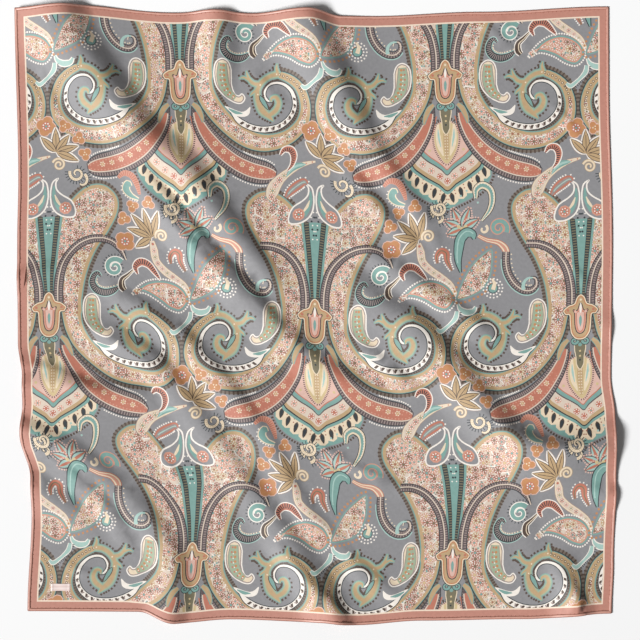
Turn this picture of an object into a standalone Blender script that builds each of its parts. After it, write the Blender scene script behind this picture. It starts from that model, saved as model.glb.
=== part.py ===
"""A 90 cm silk scarf laid flat, with the soft ripples that folding left in it.

Every piece is worked out in the flat cut: s runs across the cut square and t up it, from its middle.
lay() puts points of the cut where the cloth lies. Four outline tables say where the edges are, and a
table for each fold says how far the cloth is lifted off the surface that it rests on. All sizes here
are millimetres, and the meshes are made in metres.
"""

import math
from collections import namedtuple

import bmesh
import bpy
import numpy as np

MM = 0.001

# Driving sizes
CUT = 900.0  # side of the square of silk
CLOTH = 1.2  # wall of the panel
HEM = 4.6  # width of the rolled hem
ROLL = 2.3  # thickness of the hem at its crown
HEM_OUTER = 1.0  # at its outer edge
HEM_INNER = 1.3  # and where it meets the panel
SEAM = 0.3  # gap between pieces
LABEL_LONG = 30.0
LABEL_WIDE = 10.6
LABEL_THICK = 1.0
LABEL_S = -399.6  # middle of the label, in the cut
LABEL_T = -414.4

# How finely the pieces are divided
PANEL_CELLS = 52
HEM_CELLS = 4
LABEL_CELLS = 3

# Where the outline lies, seen from above: a place along the side, and how far out the edge is there.
EdgeRow = namedtuple("EdgeRow", "along out")

TOP_EDGE = (
    EdgeRow(along=-444.6, out=454.2),
    EdgeRow(along=-365.2, out=458.5),
    EdgeRow(along=-204.0, out=447.2),
    EdgeRow(along=-152.0, out=450.8),
    EdgeRow(along=-94.0, out=446.2),
    EdgeRow(along=-10.0, out=452.4),
    EdgeRow(along=40.0, out=442.4),
    EdgeRow(along=82.0, out=442.2),
    EdgeRow(along=243.0, out=448.6),
    EdgeRow(along=433.7, out=456.6),
)
BOTTOM_EDGE = (
    EdgeRow(along=-426.5, out=-438.0),
    EdgeRow(along=-263.0, out=-438.8),
    EdgeRow(along=-208.0, out=-455.5),
    EdgeRow(along=-125.0, out=-450.2),
    EdgeRow(along=6.0, out=-454.0),
    EdgeRow(along=59.6, out=-458.5),
    EdgeRow(along=157.0, out=-452.1),
    EdgeRow(along=304.0, out=-449.8),
    EdgeRow(along=437.9, out=-441.6),
)
LEFT_EDGE = (
    EdgeRow(along=-438.0, out=-426.5),
    EdgeRow(along=-290.0, out=-420.2),
    EdgeRow(along=-244.0, out=-421.4),
    EdgeRow(along=-176.0, out=-437.2),
    EdgeRow(along=-120.0, out=-433.2),
    EdgeRow(along=-92.0, out=-433.3),
    EdgeRow(along=-40.0, out=-440.7),
    EdgeRow(along=108.0, out=-441.7),
    EdgeRow(along=200.0, out=-440.1),
    EdgeRow(along=454.2, out=-444.6),
)
RIGHT_EDGE = (
    EdgeRow(along=-441.6, out=437.9),
    EdgeRow(along=-365.0, out=440.9),
    EdgeRow(along=-244.0, out=444.6),
    EdgeRow(along=-151.0, out=443.2),
    EdgeRow(along=-90.0, out=437.0),
    EdgeRow(along=108.0, out=439.3),
    EdgeRow(along=345.0, out=434.0),
    EdgeRow(along=456.6, out=433.7),
)

# Each fold's crest, from end to end: where it is, how high, and the widths over which the cloth falls
# away from it on its right hand (broad) and on its left (steep). A fold that leaves by an edge has its
# last row outside the cloth.
Crest = namedtuple("Crest", "x y height broad steep")

FOLDS = {
    "long_left": (
        Crest(x=-390, y=493, height=23, broad=84, steep=46),
        Crest(x=-364, y=416, height=25, broad=84, steep=46),
        Crest(x=-327, y=363, height=25, broad=80, steep=44),
        Crest(x=-269, y=281, height=24, broad=60, steep=42),
        Crest(x=-194, y=210, height=22, broad=44, steep=40),
        Crest(x=-139, y=141, height=17, broad=38, steep=34),
        Crest(x=-97, y=93, height=12, broad=32, steep=26),
        Crest(x=-35, y=22, height=0, broad=26, steep=20),
    ),
    "long_left_second": (
        Crest(x=-320, y=300, height=0, broad=40, steep=18),
        Crest(x=-269, y=237, height=8, broad=44, steep=20),
        Crest(x=-232, y=185, height=11, broad=46, steep=22),
        Crest(x=-165, y=104, height=13, broad=48, steep=23),
        Crest(x=-88, y=15, height=13, broad=48, steep=23),
        Crest(x=-47, y=-29, height=11, broad=44, steep=22),
        Crest(x=36, y=-94, height=8, broad=42, steep=24),
        Crest(x=131, y=-129, height=0, broad=30, steep=20),
    ),
    "top_short": (
        Crest(x=-152, y=493, height=13, broad=48, steep=36),
        Crest(x=-140, y=389, height=11, broad=42, steep=34),
        Crest(x=-148, y=301, height=0, broad=32, steep=22),
    ),
    "top_middle": (
        Crest(x=-28, y=493, height=20, broad=76, steep=44),
        Crest(x=-6, y=419, height=22, broad=80, steep=44),
        Crest(x=24, y=351, height=21, broad=72, steep=42),
        Crest(x=71, y=262, height=14, broad=48, steep=32),
        Crest(x=98, y=227, height=9, broad=34, steep=24),
        Crest(x=151, y=154, height=6, broad=26, steep=20),
        Crest(x=193, y=76, height=0, broad=20, steep=18),
    ),
    "top_middle_second": (
        Crest(x=23, y=249, height=0, broad=24, steep=18),
        Crest(x=94, y=154, height=7, broad=30, steep=18),
        Crest(x=166, y=82, height=0, broad=22, steep=18),
    ),
    "middle_right": (
        Crest(x=45, y=73, height=0, broad=44, steep=22),
        Crest(x=79, y=25, height=9, broad=54, steep=26),
        Crest(x=140, y=-12, height=14, broad=62, steep=30),
        Crest(x=190, y=-66, height=15, broad=62, steep=32),
        Crest(x=262, y=-152, height=16, broad=58, steep=36),
        Crest(x=312, y=-198, height=20, broad=60, steep=44),
        Crest(x=361, y=-206, height=19, broad=60, steep=44),
        Crest(x=421, y=-186, height=16, broad=56, steep=38),
        Crest(x=487, y=-170, height=14, broad=56, steep=36),
    ),
    "middle_right_second": (
        Crest(x=51, y=110, height=0, broad=26, steep=16),
        Crest(x=96, y=82, height=6, broad=28, steep=18),
        Crest(x=163, y=37, height=9, broad=32, steep=20),
        Crest(x=237, y=-15, height=8, broad=30, steep=20),
        Crest(x=275, y=-45, height=0, broad=24, steep=16),
    ),
    "right_spur": (
        Crest(x=300, y=-180, height=0, broad=36, steep=24),
        Crest(x=302, y=-212, height=5, broad=40, steep=26),
        Crest(x=311, y=-318, height=2, broad=36, steep=26),
        Crest(x=326, y=-399, height=0, broad=36, steep=26),
    ),
    "right_edge_middle": (
        Crest(x=379, y=-4, height=0, broad=28, steep=26),
        Crest(x=427, y=-16, height=4, broad=30, steep=30),
        Crest(x=487, y=-22, height=4, broad=30, steep=30),
    ),
    "right_edge_low": (
        Crest(x=370, y=-246, height=0, broad=26, steep=20),
        Crest(x=424, y=-264, height=7, broad=28, steep=22),
        Crest(x=487, y=-272, height=7, broad=28, steep=22),
    ),
    "bottom_right": (
        Crest(x=356, y=-345, height=0, broad=36, steep=28),
        Crest(x=376, y=-399, height=9, broad=44, steep=32),
        Crest(x=397, y=-503, height=12, broad=46, steep=34),
    ),
    "left_edge_top": (
        Crest(x=-485, y=43, height=9, broad=36, steep=24),
        Crest(x=-368, y=71, height=7, broad=34, steep=22),
        Crest(x=-302, y=102, height=4, broad=30, steep=20),
        Crest(x=-263, y=126, height=0, broad=28, steep=20),
    ),
    "left_upper": (
        Crest(x=-322, y=49, height=0, broad=30, steep=18),
        Crest(x=-284, y=27, height=6, broad=32, steep=18),
        Crest(x=-216, y=-15, height=9, broad=36, steep=20),
        Crest(x=-152, y=-81, height=9, broad=36, steep=20),
        Crest(x=-78, y=-177, height=6, broad=34, steep=20),
        Crest(x=-17, y=-283, height=6, broad=34, steep=20),
        Crest(x=58, y=-371, height=0, broad=30, steep=20),
    ),
    "left_lower": (
        Crest(x=-370, y=5, height=0, broad=28, steep=18),
        Crest(x=-253, y=-55, height=8, broad=36, steep=20),
        Crest(x=-189, y=-132, height=7, broad=38, steep=22),
        Crest(x=-122, y=-223, height=7, broad=40, steep=24),
        Crest(x=-56, y=-314, height=8, broad=44, steep=26),
        Crest(x=3, y=-399, height=12, broad=50, steep=30),
        Crest(x=51, y=-503, height=15, broad=52, steep=32),
    ),
    "left_edge_middle": (
        Crest(x=-485, y=-102, height=12, broad=36, steep=30),
        Crest(x=-396, y=-108, height=12, broad=36, steep=28),
        Crest(x=-330, y=-112, height=9, broad=32, steep=24),
        Crest(x=-268, y=-118, height=5, broad=30, steep=20),
        Crest(x=-219, y=-140, height=0, broad=28, steep=20),
    ),
    "left_to_bottom": (
        Crest(x=-485, y=-142, height=10, broad=32, steep=22),
        Crest(x=-370, y=-197, height=9, broad=36, steep=22),
        Crest(x=-299, y=-248, height=8, broad=38, steep=22),
        Crest(x=-257, y=-290, height=8, broad=40, steep=24),
        Crest(x=-213, y=-362, height=10, broad=44, steep=30),
        Crest(x=-216, y=-448, height=12, broad=44, steep=32),
        Crest(x=-222, y=-503, height=12, broad=44, steep=32),
    ),
    "left_corner": (
        Crest(x=-485, y=-229, height=10, broad=46, steep=34),
        Crest(x=-401, y=-262, height=8, broad=44, steep=28),
        Crest(x=-302, y=-336, height=0, broad=34, steep=22),
    ),
    "bottom_middle": (
        Crest(x=26, y=-337, height=0, broad=26, steep=18),
        Crest(x=73, y=-382, height=6, broad=30, steep=18),
        Crest(x=137, y=-428, height=0, broad=26, steep=18),
    ),
}
CREST_STEPS = 6  # points worked out between two rows of a fold
FOLD_BLEND = 3.0  # how sharply neighbouring folds run into one another
SKIRT = 0.22  # the share of a fold's height that falls away slowly, over SPREAD times its width
SPREAD = 2.4


def ease(part):
    """Goes from 0 to 1 with a level start and end, for part from 0 to 1."""
    return (1.0 - np.cos(math.pi * np.clip(part, 0.0, 1.0))) / 2.0


def mix(first, second, part):
    return first + (second - first) * part


def edge(table, part):
    """Points of the outline, for part from 0 at the side's first row to 1 at its last."""
    along = mix(table[0].along, table[-1].along, part)
    places = np.array([row.along for row in table])
    outs = np.array([row.out for row in table])
    after = np.clip(np.searchsorted(places, along), 1, len(table) - 1)
    step = (along - places[after - 1]) / (places[after] - places[after - 1])
    return along, mix(outs[after - 1], outs[after], ease(step))


def plan(s, t):
    """Where points of the cut lie seen from above: the four sides carried evenly across the cloth."""
    across, up = s / CUT + 0.5, t / CUT + 0.5
    top_x, top_y = edge(TOP_EDGE, across)
    bottom_x, bottom_y = edge(BOTTOM_EDGE, across)
    left_y, left_x = edge(LEFT_EDGE, up)
    right_y, right_x = edge(RIGHT_EDGE, up)
    corners = [(BOTTOM_EDGE[0], BOTTOM_EDGE[-1]), (TOP_EDGE[0], TOP_EDGE[-1])]
    foot, head = [
        (mix(first.along, last.along, across), mix(first.out, last.out, across)) for first, last in corners
    ]
    x = mix(bottom_x, top_x, up) + mix(left_x, right_x, across) - mix(foot[0], head[0], up)
    y = mix(bottom_y, top_y, up) + mix(left_y, right_y, across) - mix(foot[1], head[1], up)
    return x, y


def smooth_crest(rows):
    """The rows of a crest with CREST_STEPS points between each two, on one smooth curve through them."""
    rows = np.array(rows, float)
    ends = np.vstack([2 * rows[0] - rows[1], rows, 2 * rows[-1] - rows[-2]])
    part = np.linspace(0.0, 1.0, CREST_STEPS, endpoint=False)[:, None]
    spans = []
    for before, start, stop, after in zip(ends, ends[1:], ends[2:], ends[3:]):
        leave, arrive = (stop - before) / 2.0, (after - start) / 2.0
        bend = 3.0 * (stop - start) - 2.0 * leave - arrive
        turn = leave + arrive - 2.0 * (stop - start)
        spans.append(start + leave * part + bend * part**2 + turn * part**3)
    return np.maximum(np.vstack([*spans, rows[-1:]]), [-np.inf, -np.inf, 0.0, 1.0, 1.0])


def fold_height(rows, x, y):
    """The height that one fold alone gives the cloth at the points (x, y)."""
    crest = smooth_crest(rows)
    nearest = np.full(x.shape, np.inf)
    height = np.zeros(x.shape)
    for start, stop in zip(crest, crest[1:]):
        run_x, run_y = stop[:2] - start[:2]
        off_x, off_y = x - start[0], y - start[1]
        share = np.clip((off_x * run_x + off_y * run_y) / (run_x**2 + run_y**2), 0.0, 1.0)
        away = np.hypot(off_x - run_x * share, off_y - run_y * share)
        _, _, rise, broad, steep = [mix(here, there, share) for here, there in zip(start, stop)]
        width = np.where(run_x * off_y > run_y * off_x, steep, broad)
        flank = mix(ease(1.0 - away / width), ease(1.0 - away / (SPREAD * width)), SKIRT)
        closer = away < nearest
        height = np.where(closer, rise * flank, height)
        nearest = np.where(closer, away, nearest)
    return height


def lift(x, y):
    """How far the cloth is off the surface, with folds that meet run smoothly together."""
    total = sum(fold_height(rows, x, y) ** FOLD_BLEND for rows in FOLDS.values())
    return total ** (1.0 / FOLD_BLEND)


def underside(s, t):
    x, y = plan(s, t)
    return np.stack([x, y, lift(x, y)], axis=-1)


def lay(s, t, above):
    """Points of the cut laid down, above the cloth's underside and square to it."""
    step = 1.0
    along_s = underside(s + step, t) - underside(s - step, t)
    along_t = underside(s, t + step) - underside(s, t - step)
    normal = np.cross(along_s, along_t)
    normal /= np.linalg.norm(normal, axis=-1, keepdims=True)
    return underside(s, t) + normal * above[..., None]


def silk(name, colour, roughness):
    material = bpy.data.materials.new(name)
    material.use_nodes = True
    shader = material.node_tree.nodes["Principled BSDF"]
    shader.inputs["Base Color"].default_value = (*colour, 1.0)
    shader.inputs["Roughness"].default_value = roughness
    shader.inputs["Metallic"].default_value = 0.0
    material.diffuse_color = (*colour, 1.0)
    return material


def cloth_piece(name, cells, cut_point, bottom, top, material, collection):
    """A closed piece of cloth, from a grid whose places across and up run from 0 to 1.

    cut_point gives the points of the cut for such places, and bottom and top how far above the cloth's
    underside the piece starts and ends there.
    """
    form = bmesh.new()
    bmesh.ops.create_grid(form, x_segments=cells[0], y_segments=cells[1], size=0.5)
    # Most folds run down to the right, and so do the diagonals of the grid's squares.
    bmesh.ops.triangulate(form, faces=form.faces[:], quad_method="ALTERNATE")
    raised = bmesh.ops.extrude_face_region(form, geom=form.faces[:], use_keep_orig=True)
    upper = [item for item in raised["geom"] if isinstance(item, bmesh.types.BMVert)]
    bmesh.ops.translate(form, verts=upper, vec=(0.0, 0.0, 1.0))
    bmesh.ops.recalc_face_normals(form, faces=form.faces[:])

    corners = np.array([vert.co for vert in form.verts])
    across, up, layer = corners[:, 0] + 0.5, corners[:, 1] + 0.5, corners[:, 2]
    above = mix(bottom(across, up), top(across, up), layer)
    for vert, point in zip(form.verts, lay(*cut_point(across, up), above)):
        vert.co = point * MM

    mesh = bpy.data.meshes.new(name)
    form.to_mesh(mesh)
    form.free()
    mesh.shade_smooth()
    mesh.set_sharp_from_angle(angle=math.radians(40))
    mesh.materials.append(material)
    piece = bpy.data.objects.new(name, mesh)
    collection.objects.link(piece)
    return piece


def panel_point(across, up):
    reach = CUT / 2 - HEM - SEAM
    return mix(-reach, reach, across), mix(-reach, reach, up)


def hem_point(side):
    """The points of a hem's cut, along it and from its outer edge in, with mitred ends."""
    turns = {"bottom": 0, "right": 1, "top": 2, "left": 3}[side]

    def point(along, inward):
        out = CUT / 2 - HEM * inward
        end = out - SEAM
        s, t = mix(-end, end, along), -out
        for _ in range(turns):
            s, t = -t, s
        return s, t

    return point


def hem_top(along, inward):
    """The hem's rounded top, highest over its middle."""
    crown = ROLL - (HEM_OUTER + HEM_INNER) / 2
    return mix(HEM_OUTER, HEM_INNER, inward) + crown * np.sin(math.pi * inward)


def label_point(across, up):
    return LABEL_S + LABEL_LONG * (across - 0.5), LABEL_T + LABEL_WIDE * (up - 0.5)


def level(height):
    return lambda across, up: np.full(across.shape, height)


def build():
    for obj in list(bpy.data.objects):
        bpy.data.objects.remove(obj, do_unlink=True)
    scarf = bpy.data.collections.new("silk_scarf")
    bpy.context.scene.collection.children.link(scarf)

    printed = silk("printed_silk", (0.36, 0.33, 0.30), 0.42)
    border = silk("border_silk", (0.50, 0.22, 0.16), 0.42)
    satin = silk("label_satin", (0.86, 0.78, 0.74), 0.50)

    cloth_piece("panel", (PANEL_CELLS, PANEL_CELLS), panel_point, level(0.0), level(CLOTH), printed, scarf)
    for side in ("top", "bottom", "left", "right"):
        hem_cells = (PANEL_CELLS, HEM_CELLS)
        cloth_piece("hem_" + side, hem_cells, hem_point(side), level(0.0), hem_top, border, scarf)
    back = level(CLOTH + SEAM)
    face = level(CLOTH + SEAM + LABEL_THICK)
    cloth_piece("label", (LABEL_CELLS, 1), label_point, back, face, satin, scarf)


build()
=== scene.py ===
"""Looks of a 90 cm printed silk scarf that lies flat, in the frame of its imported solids.

The print is drawn as on a design paper: one repeat of a traditional paisley, in its own steps, whose
marks are painted one over another. The marks of all the repeats are then cut into one mesh with an
ink for each face, and that mesh is laid down over the same ripples as the solids have.
"""

import math
from collections import namedtuple

import bmesh
import bpy
import numpy as np
from mathutils import Matrix, Vector
from mathutils.bvhtree import BVHTree
from mathutils.geometry import delaunay_2d_cdt


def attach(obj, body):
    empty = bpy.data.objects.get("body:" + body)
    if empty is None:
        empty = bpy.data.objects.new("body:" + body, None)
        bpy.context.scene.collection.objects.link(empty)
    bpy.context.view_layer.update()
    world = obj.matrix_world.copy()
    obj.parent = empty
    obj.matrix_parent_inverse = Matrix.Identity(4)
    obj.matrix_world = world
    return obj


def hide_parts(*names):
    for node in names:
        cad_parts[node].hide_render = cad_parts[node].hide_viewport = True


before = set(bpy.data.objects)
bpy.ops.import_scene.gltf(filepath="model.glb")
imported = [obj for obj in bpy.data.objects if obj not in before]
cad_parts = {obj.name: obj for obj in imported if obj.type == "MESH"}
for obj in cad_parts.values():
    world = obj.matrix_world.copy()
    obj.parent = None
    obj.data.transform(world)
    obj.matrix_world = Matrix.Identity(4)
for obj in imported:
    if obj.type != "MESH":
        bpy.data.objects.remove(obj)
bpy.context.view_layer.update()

MM = 0.001

# The cut, in millimetres, as the solids have it
CUT = 900.0
HEM = 4.6
SEAM = 0.3
LABEL_LONG = 30.0
LABEL_WIDE = 10.6
LABEL_S = -399.6
LABEL_T = -414.4

FACE = 1.0  # the printed face, above the cloth's underside
BACK = 0.2  # and the reverse

# Where the outline lies, seen from above: a place along the side, and how far out the edge is there.
TOP_EDGE = (
    (-444.6, 454.2), (-365.2, 458.5), (-204.0, 447.2), (-152.0, 450.8), (-94.0, 446.2), (-10.0, 452.4),
    (40.0, 442.4), (82.0, 442.2), (243.0, 448.6), (433.7, 456.6),
)
BOTTOM_EDGE = (
    (-426.5, -438.0), (-263.0, -438.8), (-208.0, -455.5), (-125.0, -450.2), (6.0, -454.0), (59.6, -458.5),
    (157.0, -452.1), (304.0, -449.8), (437.9, -441.6),
)
LEFT_EDGE = (
    (-438.0, -426.5), (-290.0, -420.2), (-244.0, -421.4), (-176.0, -437.2), (-120.0, -433.2),
    (-92.0, -433.3), (-40.0, -440.7), (108.0, -441.7), (200.0, -440.1), (454.2, -444.6),
)
RIGHT_EDGE = (
    (-441.6, 437.9), (-365.0, 440.9), (-244.0, 444.6), (-151.0, 443.2), (-90.0, 437.0), (108.0, 439.3),
    (345.0, 434.0), (456.6, 433.7),
)

# Each fold's crest, from end to end: x, y, height, and the widths over which the cloth falls away from
# it on its right hand (broad) and on its left (steep). These are the solids' folds.
FOLDS = {
    "long_left": (
        (-390, 493, 23, 84, 46), (-364, 416, 25, 84, 46), (-327, 363, 25, 80, 44), (-269, 281, 24, 60, 42),
        (-194, 210, 22, 44, 40), (-139, 141, 17, 38, 34), (-97, 93, 12, 32, 26), (-35, 22, 0, 26, 20),
    ),
    "long_left_second": (
        (-320, 300, 0, 40, 18), (-269, 237, 8, 44, 20), (-232, 185, 11, 46, 22), (-165, 104, 13, 48, 23),
        (-88, 15, 13, 48, 23), (-47, -29, 11, 44, 22), (36, -94, 8, 42, 24), (131, -129, 0, 30, 20),
    ),
    "top_short": (
        (-152, 493, 13, 48, 36), (-140, 389, 11, 42, 34), (-148, 301, 0, 32, 22),
    ),
    "top_middle": (
        (-28, 493, 20, 76, 44), (-6, 419, 22, 80, 44), (24, 351, 21, 72, 42), (71, 262, 14, 48, 32),
        (98, 227, 9, 34, 24), (151, 154, 6, 26, 20), (193, 76, 0, 20, 18),
    ),
    "top_middle_second": (
        (23, 249, 0, 24, 18), (94, 154, 7, 30, 18), (166, 82, 0, 22, 18),
    ),
    "middle_right": (
        (45, 73, 0, 44, 22), (79, 25, 9, 54, 26), (140, -12, 14, 62, 30), (190, -66, 15, 62, 32),
        (262, -152, 16, 58, 36), (312, -198, 20, 60, 44), (361, -206, 19, 60, 44), (421, -186, 16, 56, 38),
        (487, -170, 14, 56, 36),
    ),
    "middle_right_second": (
        (51, 110, 0, 26, 16), (96, 82, 6, 28, 18), (163, 37, 9, 32, 20), (237, -15, 8, 30, 20),
        (275, -45, 0, 24, 16),
    ),
    "right_spur": (
        (300, -180, 0, 36, 24), (302, -212, 5, 40, 26), (311, -318, 2, 36, 26), (326, -399, 0, 36, 26),
    ),
    "right_edge_middle": (
        (379, -4, 0, 28, 26), (427, -16, 4, 30, 30), (487, -22, 4, 30, 30),
    ),
    "right_edge_low": (
        (370, -246, 0, 26, 20), (424, -264, 7, 28, 22), (487, -272, 7, 28, 22),
    ),
    "bottom_right": (
        (356, -345, 0, 36, 28), (376, -399, 9, 44, 32), (397, -503, 12, 46, 34),
    ),
    "left_edge_top": (
        (-485, 43, 9, 36, 24), (-368, 71, 7, 34, 22), (-302, 102, 4, 30, 20), (-263, 126, 0, 28, 20),
    ),
    "left_upper": (
        (-322, 49, 0, 30, 18), (-284, 27, 6, 32, 18), (-216, -15, 9, 36, 20), (-152, -81, 9, 36, 20),
        (-78, -177, 6, 34, 20), (-17, -283, 6, 34, 20), (58, -371, 0, 30, 20),
    ),
    "left_lower": (
        (-370, 5, 0, 28, 18), (-253, -55, 8, 36, 20), (-189, -132, 7, 38, 22), (-122, -223, 7, 40, 24),
        (-56, -314, 8, 44, 26), (3, -399, 12, 50, 30), (51, -503, 15, 52, 32),
    ),
    "left_edge_middle": (
        (-485, -102, 12, 36, 30), (-396, -108, 12, 36, 28), (-330, -112, 9, 32, 24),
        (-268, -118, 5, 30, 20), (-219, -140, 0, 28, 20),
    ),
    "left_to_bottom": (
        (-485, -142, 10, 32, 22), (-370, -197, 9, 36, 22), (-299, -248, 8, 38, 22), (-257, -290, 8, 40, 24),
        (-213, -362, 10, 44, 30), (-216, -448, 12, 44, 32), (-222, -503, 12, 44, 32),
    ),
    "left_corner": (
        (-485, -229, 10, 46, 34), (-401, -262, 8, 44, 28), (-302, -336, 0, 34, 22),
    ),
    "bottom_middle": (
        (26, -337, 0, 26, 18), (73, -382, 6, 30, 18), (137, -428, 0, 26, 18),
    ),
}
CREST_STEPS = 6
FOLD_BLEND = 3.0
SKIRT = 0.22
SPREAD = 2.4

# Slight creases that only the thin silk has, in the same columns
CREASES = (
    ((-35, -167, 0, 16, 9), (21, -203, 2.2, 18, 10), (95, -241, 2.6, 18, 10), (169, -274, 0, 14, 8)),
    ((240, 440, 0, 10, 8), (273, 410, 1.6, 12, 8), (310, 369, 0, 10, 8)),
    ((265, 446, 0, 9, 7), (295, 413, 1.2, 10, 7), (332, 380, 0, 9, 7)),
    ((132, -321, 0, 12, 9), (184, -299, 2.0, 15, 10), (246, -271, 0, 12, 8)),
    ((228, -362, 0, 11, 8), (288, -325, 1.5, 14, 9), (332, -303, 0, 10, 8)),
    ((332, 333, 0, 12, 8), (370, 290, 1.8, 14, 9), (406, 244, 0, 11, 8)),
    ((-415, 377, 0, 10, 9), (-390, 320, 2.0, 14, 10), (-378, 270, 0, 11, 8)),
    ((-408, 170, 0, 12, 8), (-370, 160, 1.5, 13, 9), (-340, 140, 0, 10, 8)),
    ((-378, -362, 0, 12, 9), (-345, -380, 2.0, 14, 10), (-300, -385, 0, 12, 8)),
    ((361, 96, 0, 12, 8), (390, 60, 1.7, 13, 9), (420, 22, 0, 11, 8)),
    ((-245, -185, 0, 12, 8), (-215, -225, 1.8, 13, 9), (-186, -274, 0, 11, 8)),
    ((-112, 378, 0, 12, 8), (-75, 340, 2.0, 15, 10), (-38, 303, 0, 11, 8)),
    ((-441, -70, 4.0, 30, 15), (-378, -88, 8.0, 30, 16), (-302, -123, 0, 22, 12)),
    ((-408, -203, 2.0, 26, 14), (-319, -274, 7.0, 30, 16), (-260, -362, 0, 22, 13)),
    ((-275, 207, 0, 26, 14), (-186, 104, 8.0, 34, 17), (-97, 15, 0, 24, 13)),
    ((240, -143, 0, 24, 13), (325, -190, 9.0, 32, 18), (421, -196, 4.0, 28, 16)),
    ((-68, -326, 0, 20, 13), (-8, -399, 7.0, 26, 15), (36, -439, 3.0, 24, 14)),
    ((54, -34, 0, 22, 13), (113, -84, 6.5, 28, 15), (169, -126, 0, 20, 12)),
    ((-364, -4, 0, 20, 12), (-290, -44, 5.5, 26, 14), (-208, -103, 0, 20, 12)),
    ((354, -362, 1.5, 22, 13), (388, -422, 6.0, 26, 15)),
)


# ---------------------------------------------------------------- the cloth as it lies


def ease(part):
    """Goes from 0 to 1 with a level start and end."""
    return (1.0 - np.cos(math.pi * np.clip(part, 0.0, 1.0))) / 2.0


def mix(first, second, part):
    return first + (second - first) * part


def edge(table, part):
    places, outs = np.array(table).T
    along = mix(places[0], places[-1], part)
    after = np.clip(np.searchsorted(places, along), 1, len(table) - 1)
    step = (along - places[after - 1]) / (places[after] - places[after - 1])
    return along, mix(outs[after - 1], outs[after], ease(step))


def plan(s, t):
    """Where points of the cut lie seen from above: the four sides carried evenly across the cloth."""
    across, up = s / CUT + 0.5, t / CUT + 0.5
    top_x, top_y = edge(TOP_EDGE, across)
    bottom_x, bottom_y = edge(BOTTOM_EDGE, across)
    left_y, left_x = edge(LEFT_EDGE, up)
    right_y, right_x = edge(RIGHT_EDGE, up)
    corners = [(BOTTOM_EDGE[0], BOTTOM_EDGE[-1]), (TOP_EDGE[0], TOP_EDGE[-1])]
    foot, head = [
        [mix(here, there, across) for here, there in zip(first, last)] for first, last in corners
    ]
    x = mix(bottom_x, top_x, up) + mix(left_x, right_x, across) - mix(foot[0], head[0], up)
    y = mix(bottom_y, top_y, up) + mix(left_y, right_y, across) - mix(foot[1], head[1], up)
    return x, y


def smooth(rows, steps=4, closed=False):
    """The rows with steps points for each stretch between two, on one smooth curve through them."""
    rows = np.array(rows, float)
    if closed:
        ends = np.vstack([rows[-1:], rows, rows[:2]])
    else:
        ends = np.vstack([2 * rows[0] - rows[1], rows, 2 * rows[-1] - rows[-2]])
    part = np.linspace(0.0, 1.0, steps, endpoint=False)[:, None]
    spans = []
    for before, start, stop, after in zip(ends, ends[1:], ends[2:], ends[3:]):
        leave, arrive = (stop - before) / 2.0, (after - start) / 2.0
        bend = 3.0 * (stop - start) - 2.0 * leave - arrive
        turn = leave + arrive - 2.0 * (stop - start)
        spans.append(start + leave * part + bend * part**2 + turn * part**3)
    return np.vstack(spans if closed else [*spans, rows[-1:]])


def fold_height(rows, x, y):
    crest = np.maximum(smooth(rows, CREST_STEPS), [-np.inf, -np.inf, 0.0, 1.0, 1.0])
    reach = SPREAD * max(row[3] for row in rows) + 1.0
    low, high = crest[:, :2].min(axis=0) - reach, crest[:, :2].max(axis=0) + reach
    near = (x > low[0]) & (x < high[0]) & (y > low[1]) & (y < high[1])
    full = np.zeros(x.shape)
    x, y = x[near], y[near]
    nearest = np.full(x.shape, np.inf)
    height = np.zeros(x.shape)
    for start, stop in zip(crest, crest[1:]):
        run_x, run_y = stop[:2] - start[:2]
        off_x, off_y = x - start[0], y - start[1]
        share = np.clip((off_x * run_x + off_y * run_y) / (run_x**2 + run_y**2), 0.0, 1.0)
        away = np.hypot(off_x - run_x * share, off_y - run_y * share)
        _, _, rise, broad, steep = [mix(here, there, share) for here, there in zip(start, stop)]
        width = np.where(run_x * off_y > run_y * off_x, steep, broad)
        flank = mix(ease(1.0 - away / width), ease(1.0 - away / (SPREAD * width)), SKIRT)
        closer = away < nearest
        height = np.where(closer, rise * flank, height)
        nearest = np.where(closer, away, nearest)
    full[near] = height
    return full


def lift(x, y):
    total = sum(fold_height(rows, x, y) ** FOLD_BLEND for rows in FOLDS.values())
    return total ** (1.0 / FOLD_BLEND) + sum(fold_height(rows, x, y) for rows in CREASES)


def underside(s, t):
    x, y = plan(s, t)
    return np.stack([x, y, lift(x, y)], axis=-1)


def lay(s, t, above):
    """Points of the cut laid down, above the cloth's underside and square to it, and the way up there."""
    step = 1.0
    along_s = underside(s + step, t) - underside(s - step, t)
    along_t = underside(s, t + step) - underside(s, t - step)
    normal = np.cross(along_s, along_t)
    normal /= np.linalg.norm(normal, axis=-1, keepdims=True)
    return underside(s, t) + normal * above[..., None], normal


# ---------------------------------------------------------------- colours and materials


def linear(code):
    """An sRGB hex colour as linear light, opaque."""
    parts = [int(code[i : i + 2], 16) / 255.0 for i in (0, 2, 4)]
    light = [part / 12.92 if part <= 0.04045 else ((part + 0.055) / 1.055) ** 2.4 for part in parts]
    return (*light, 1.0)


INKS = {
    "ground": "8B8A8C",
    "teal": "7BA29A",
    "pale_teal": "A5C4BB",
    "ochre": "BC9F78",
    "gold": "CFB98C",
    "bark": "75695E",
    "brown": "54443A",
    "sage": "9FAD92",
    "olive": "777059",
    "plum": "5A4D4E",
    "taupe": "9A8A85",
    "coral": "BC7560",
    "salmon": "CF9580",
    "rose": "A26A59",
    "blush": "C89C86",
    "orange": "C0875A",
    "white": "F1E9DF",
    "petal": "D8C7B6",
    "millefleur": "D8C7B6",
    "pink": "DBB5A7",
    "navy": "2F373B",
    "cream": "E6D3B7",
    "border": "BE8575",
    "line": "EFD9C4",
}
INK_NAMES = list(INKS)


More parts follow.
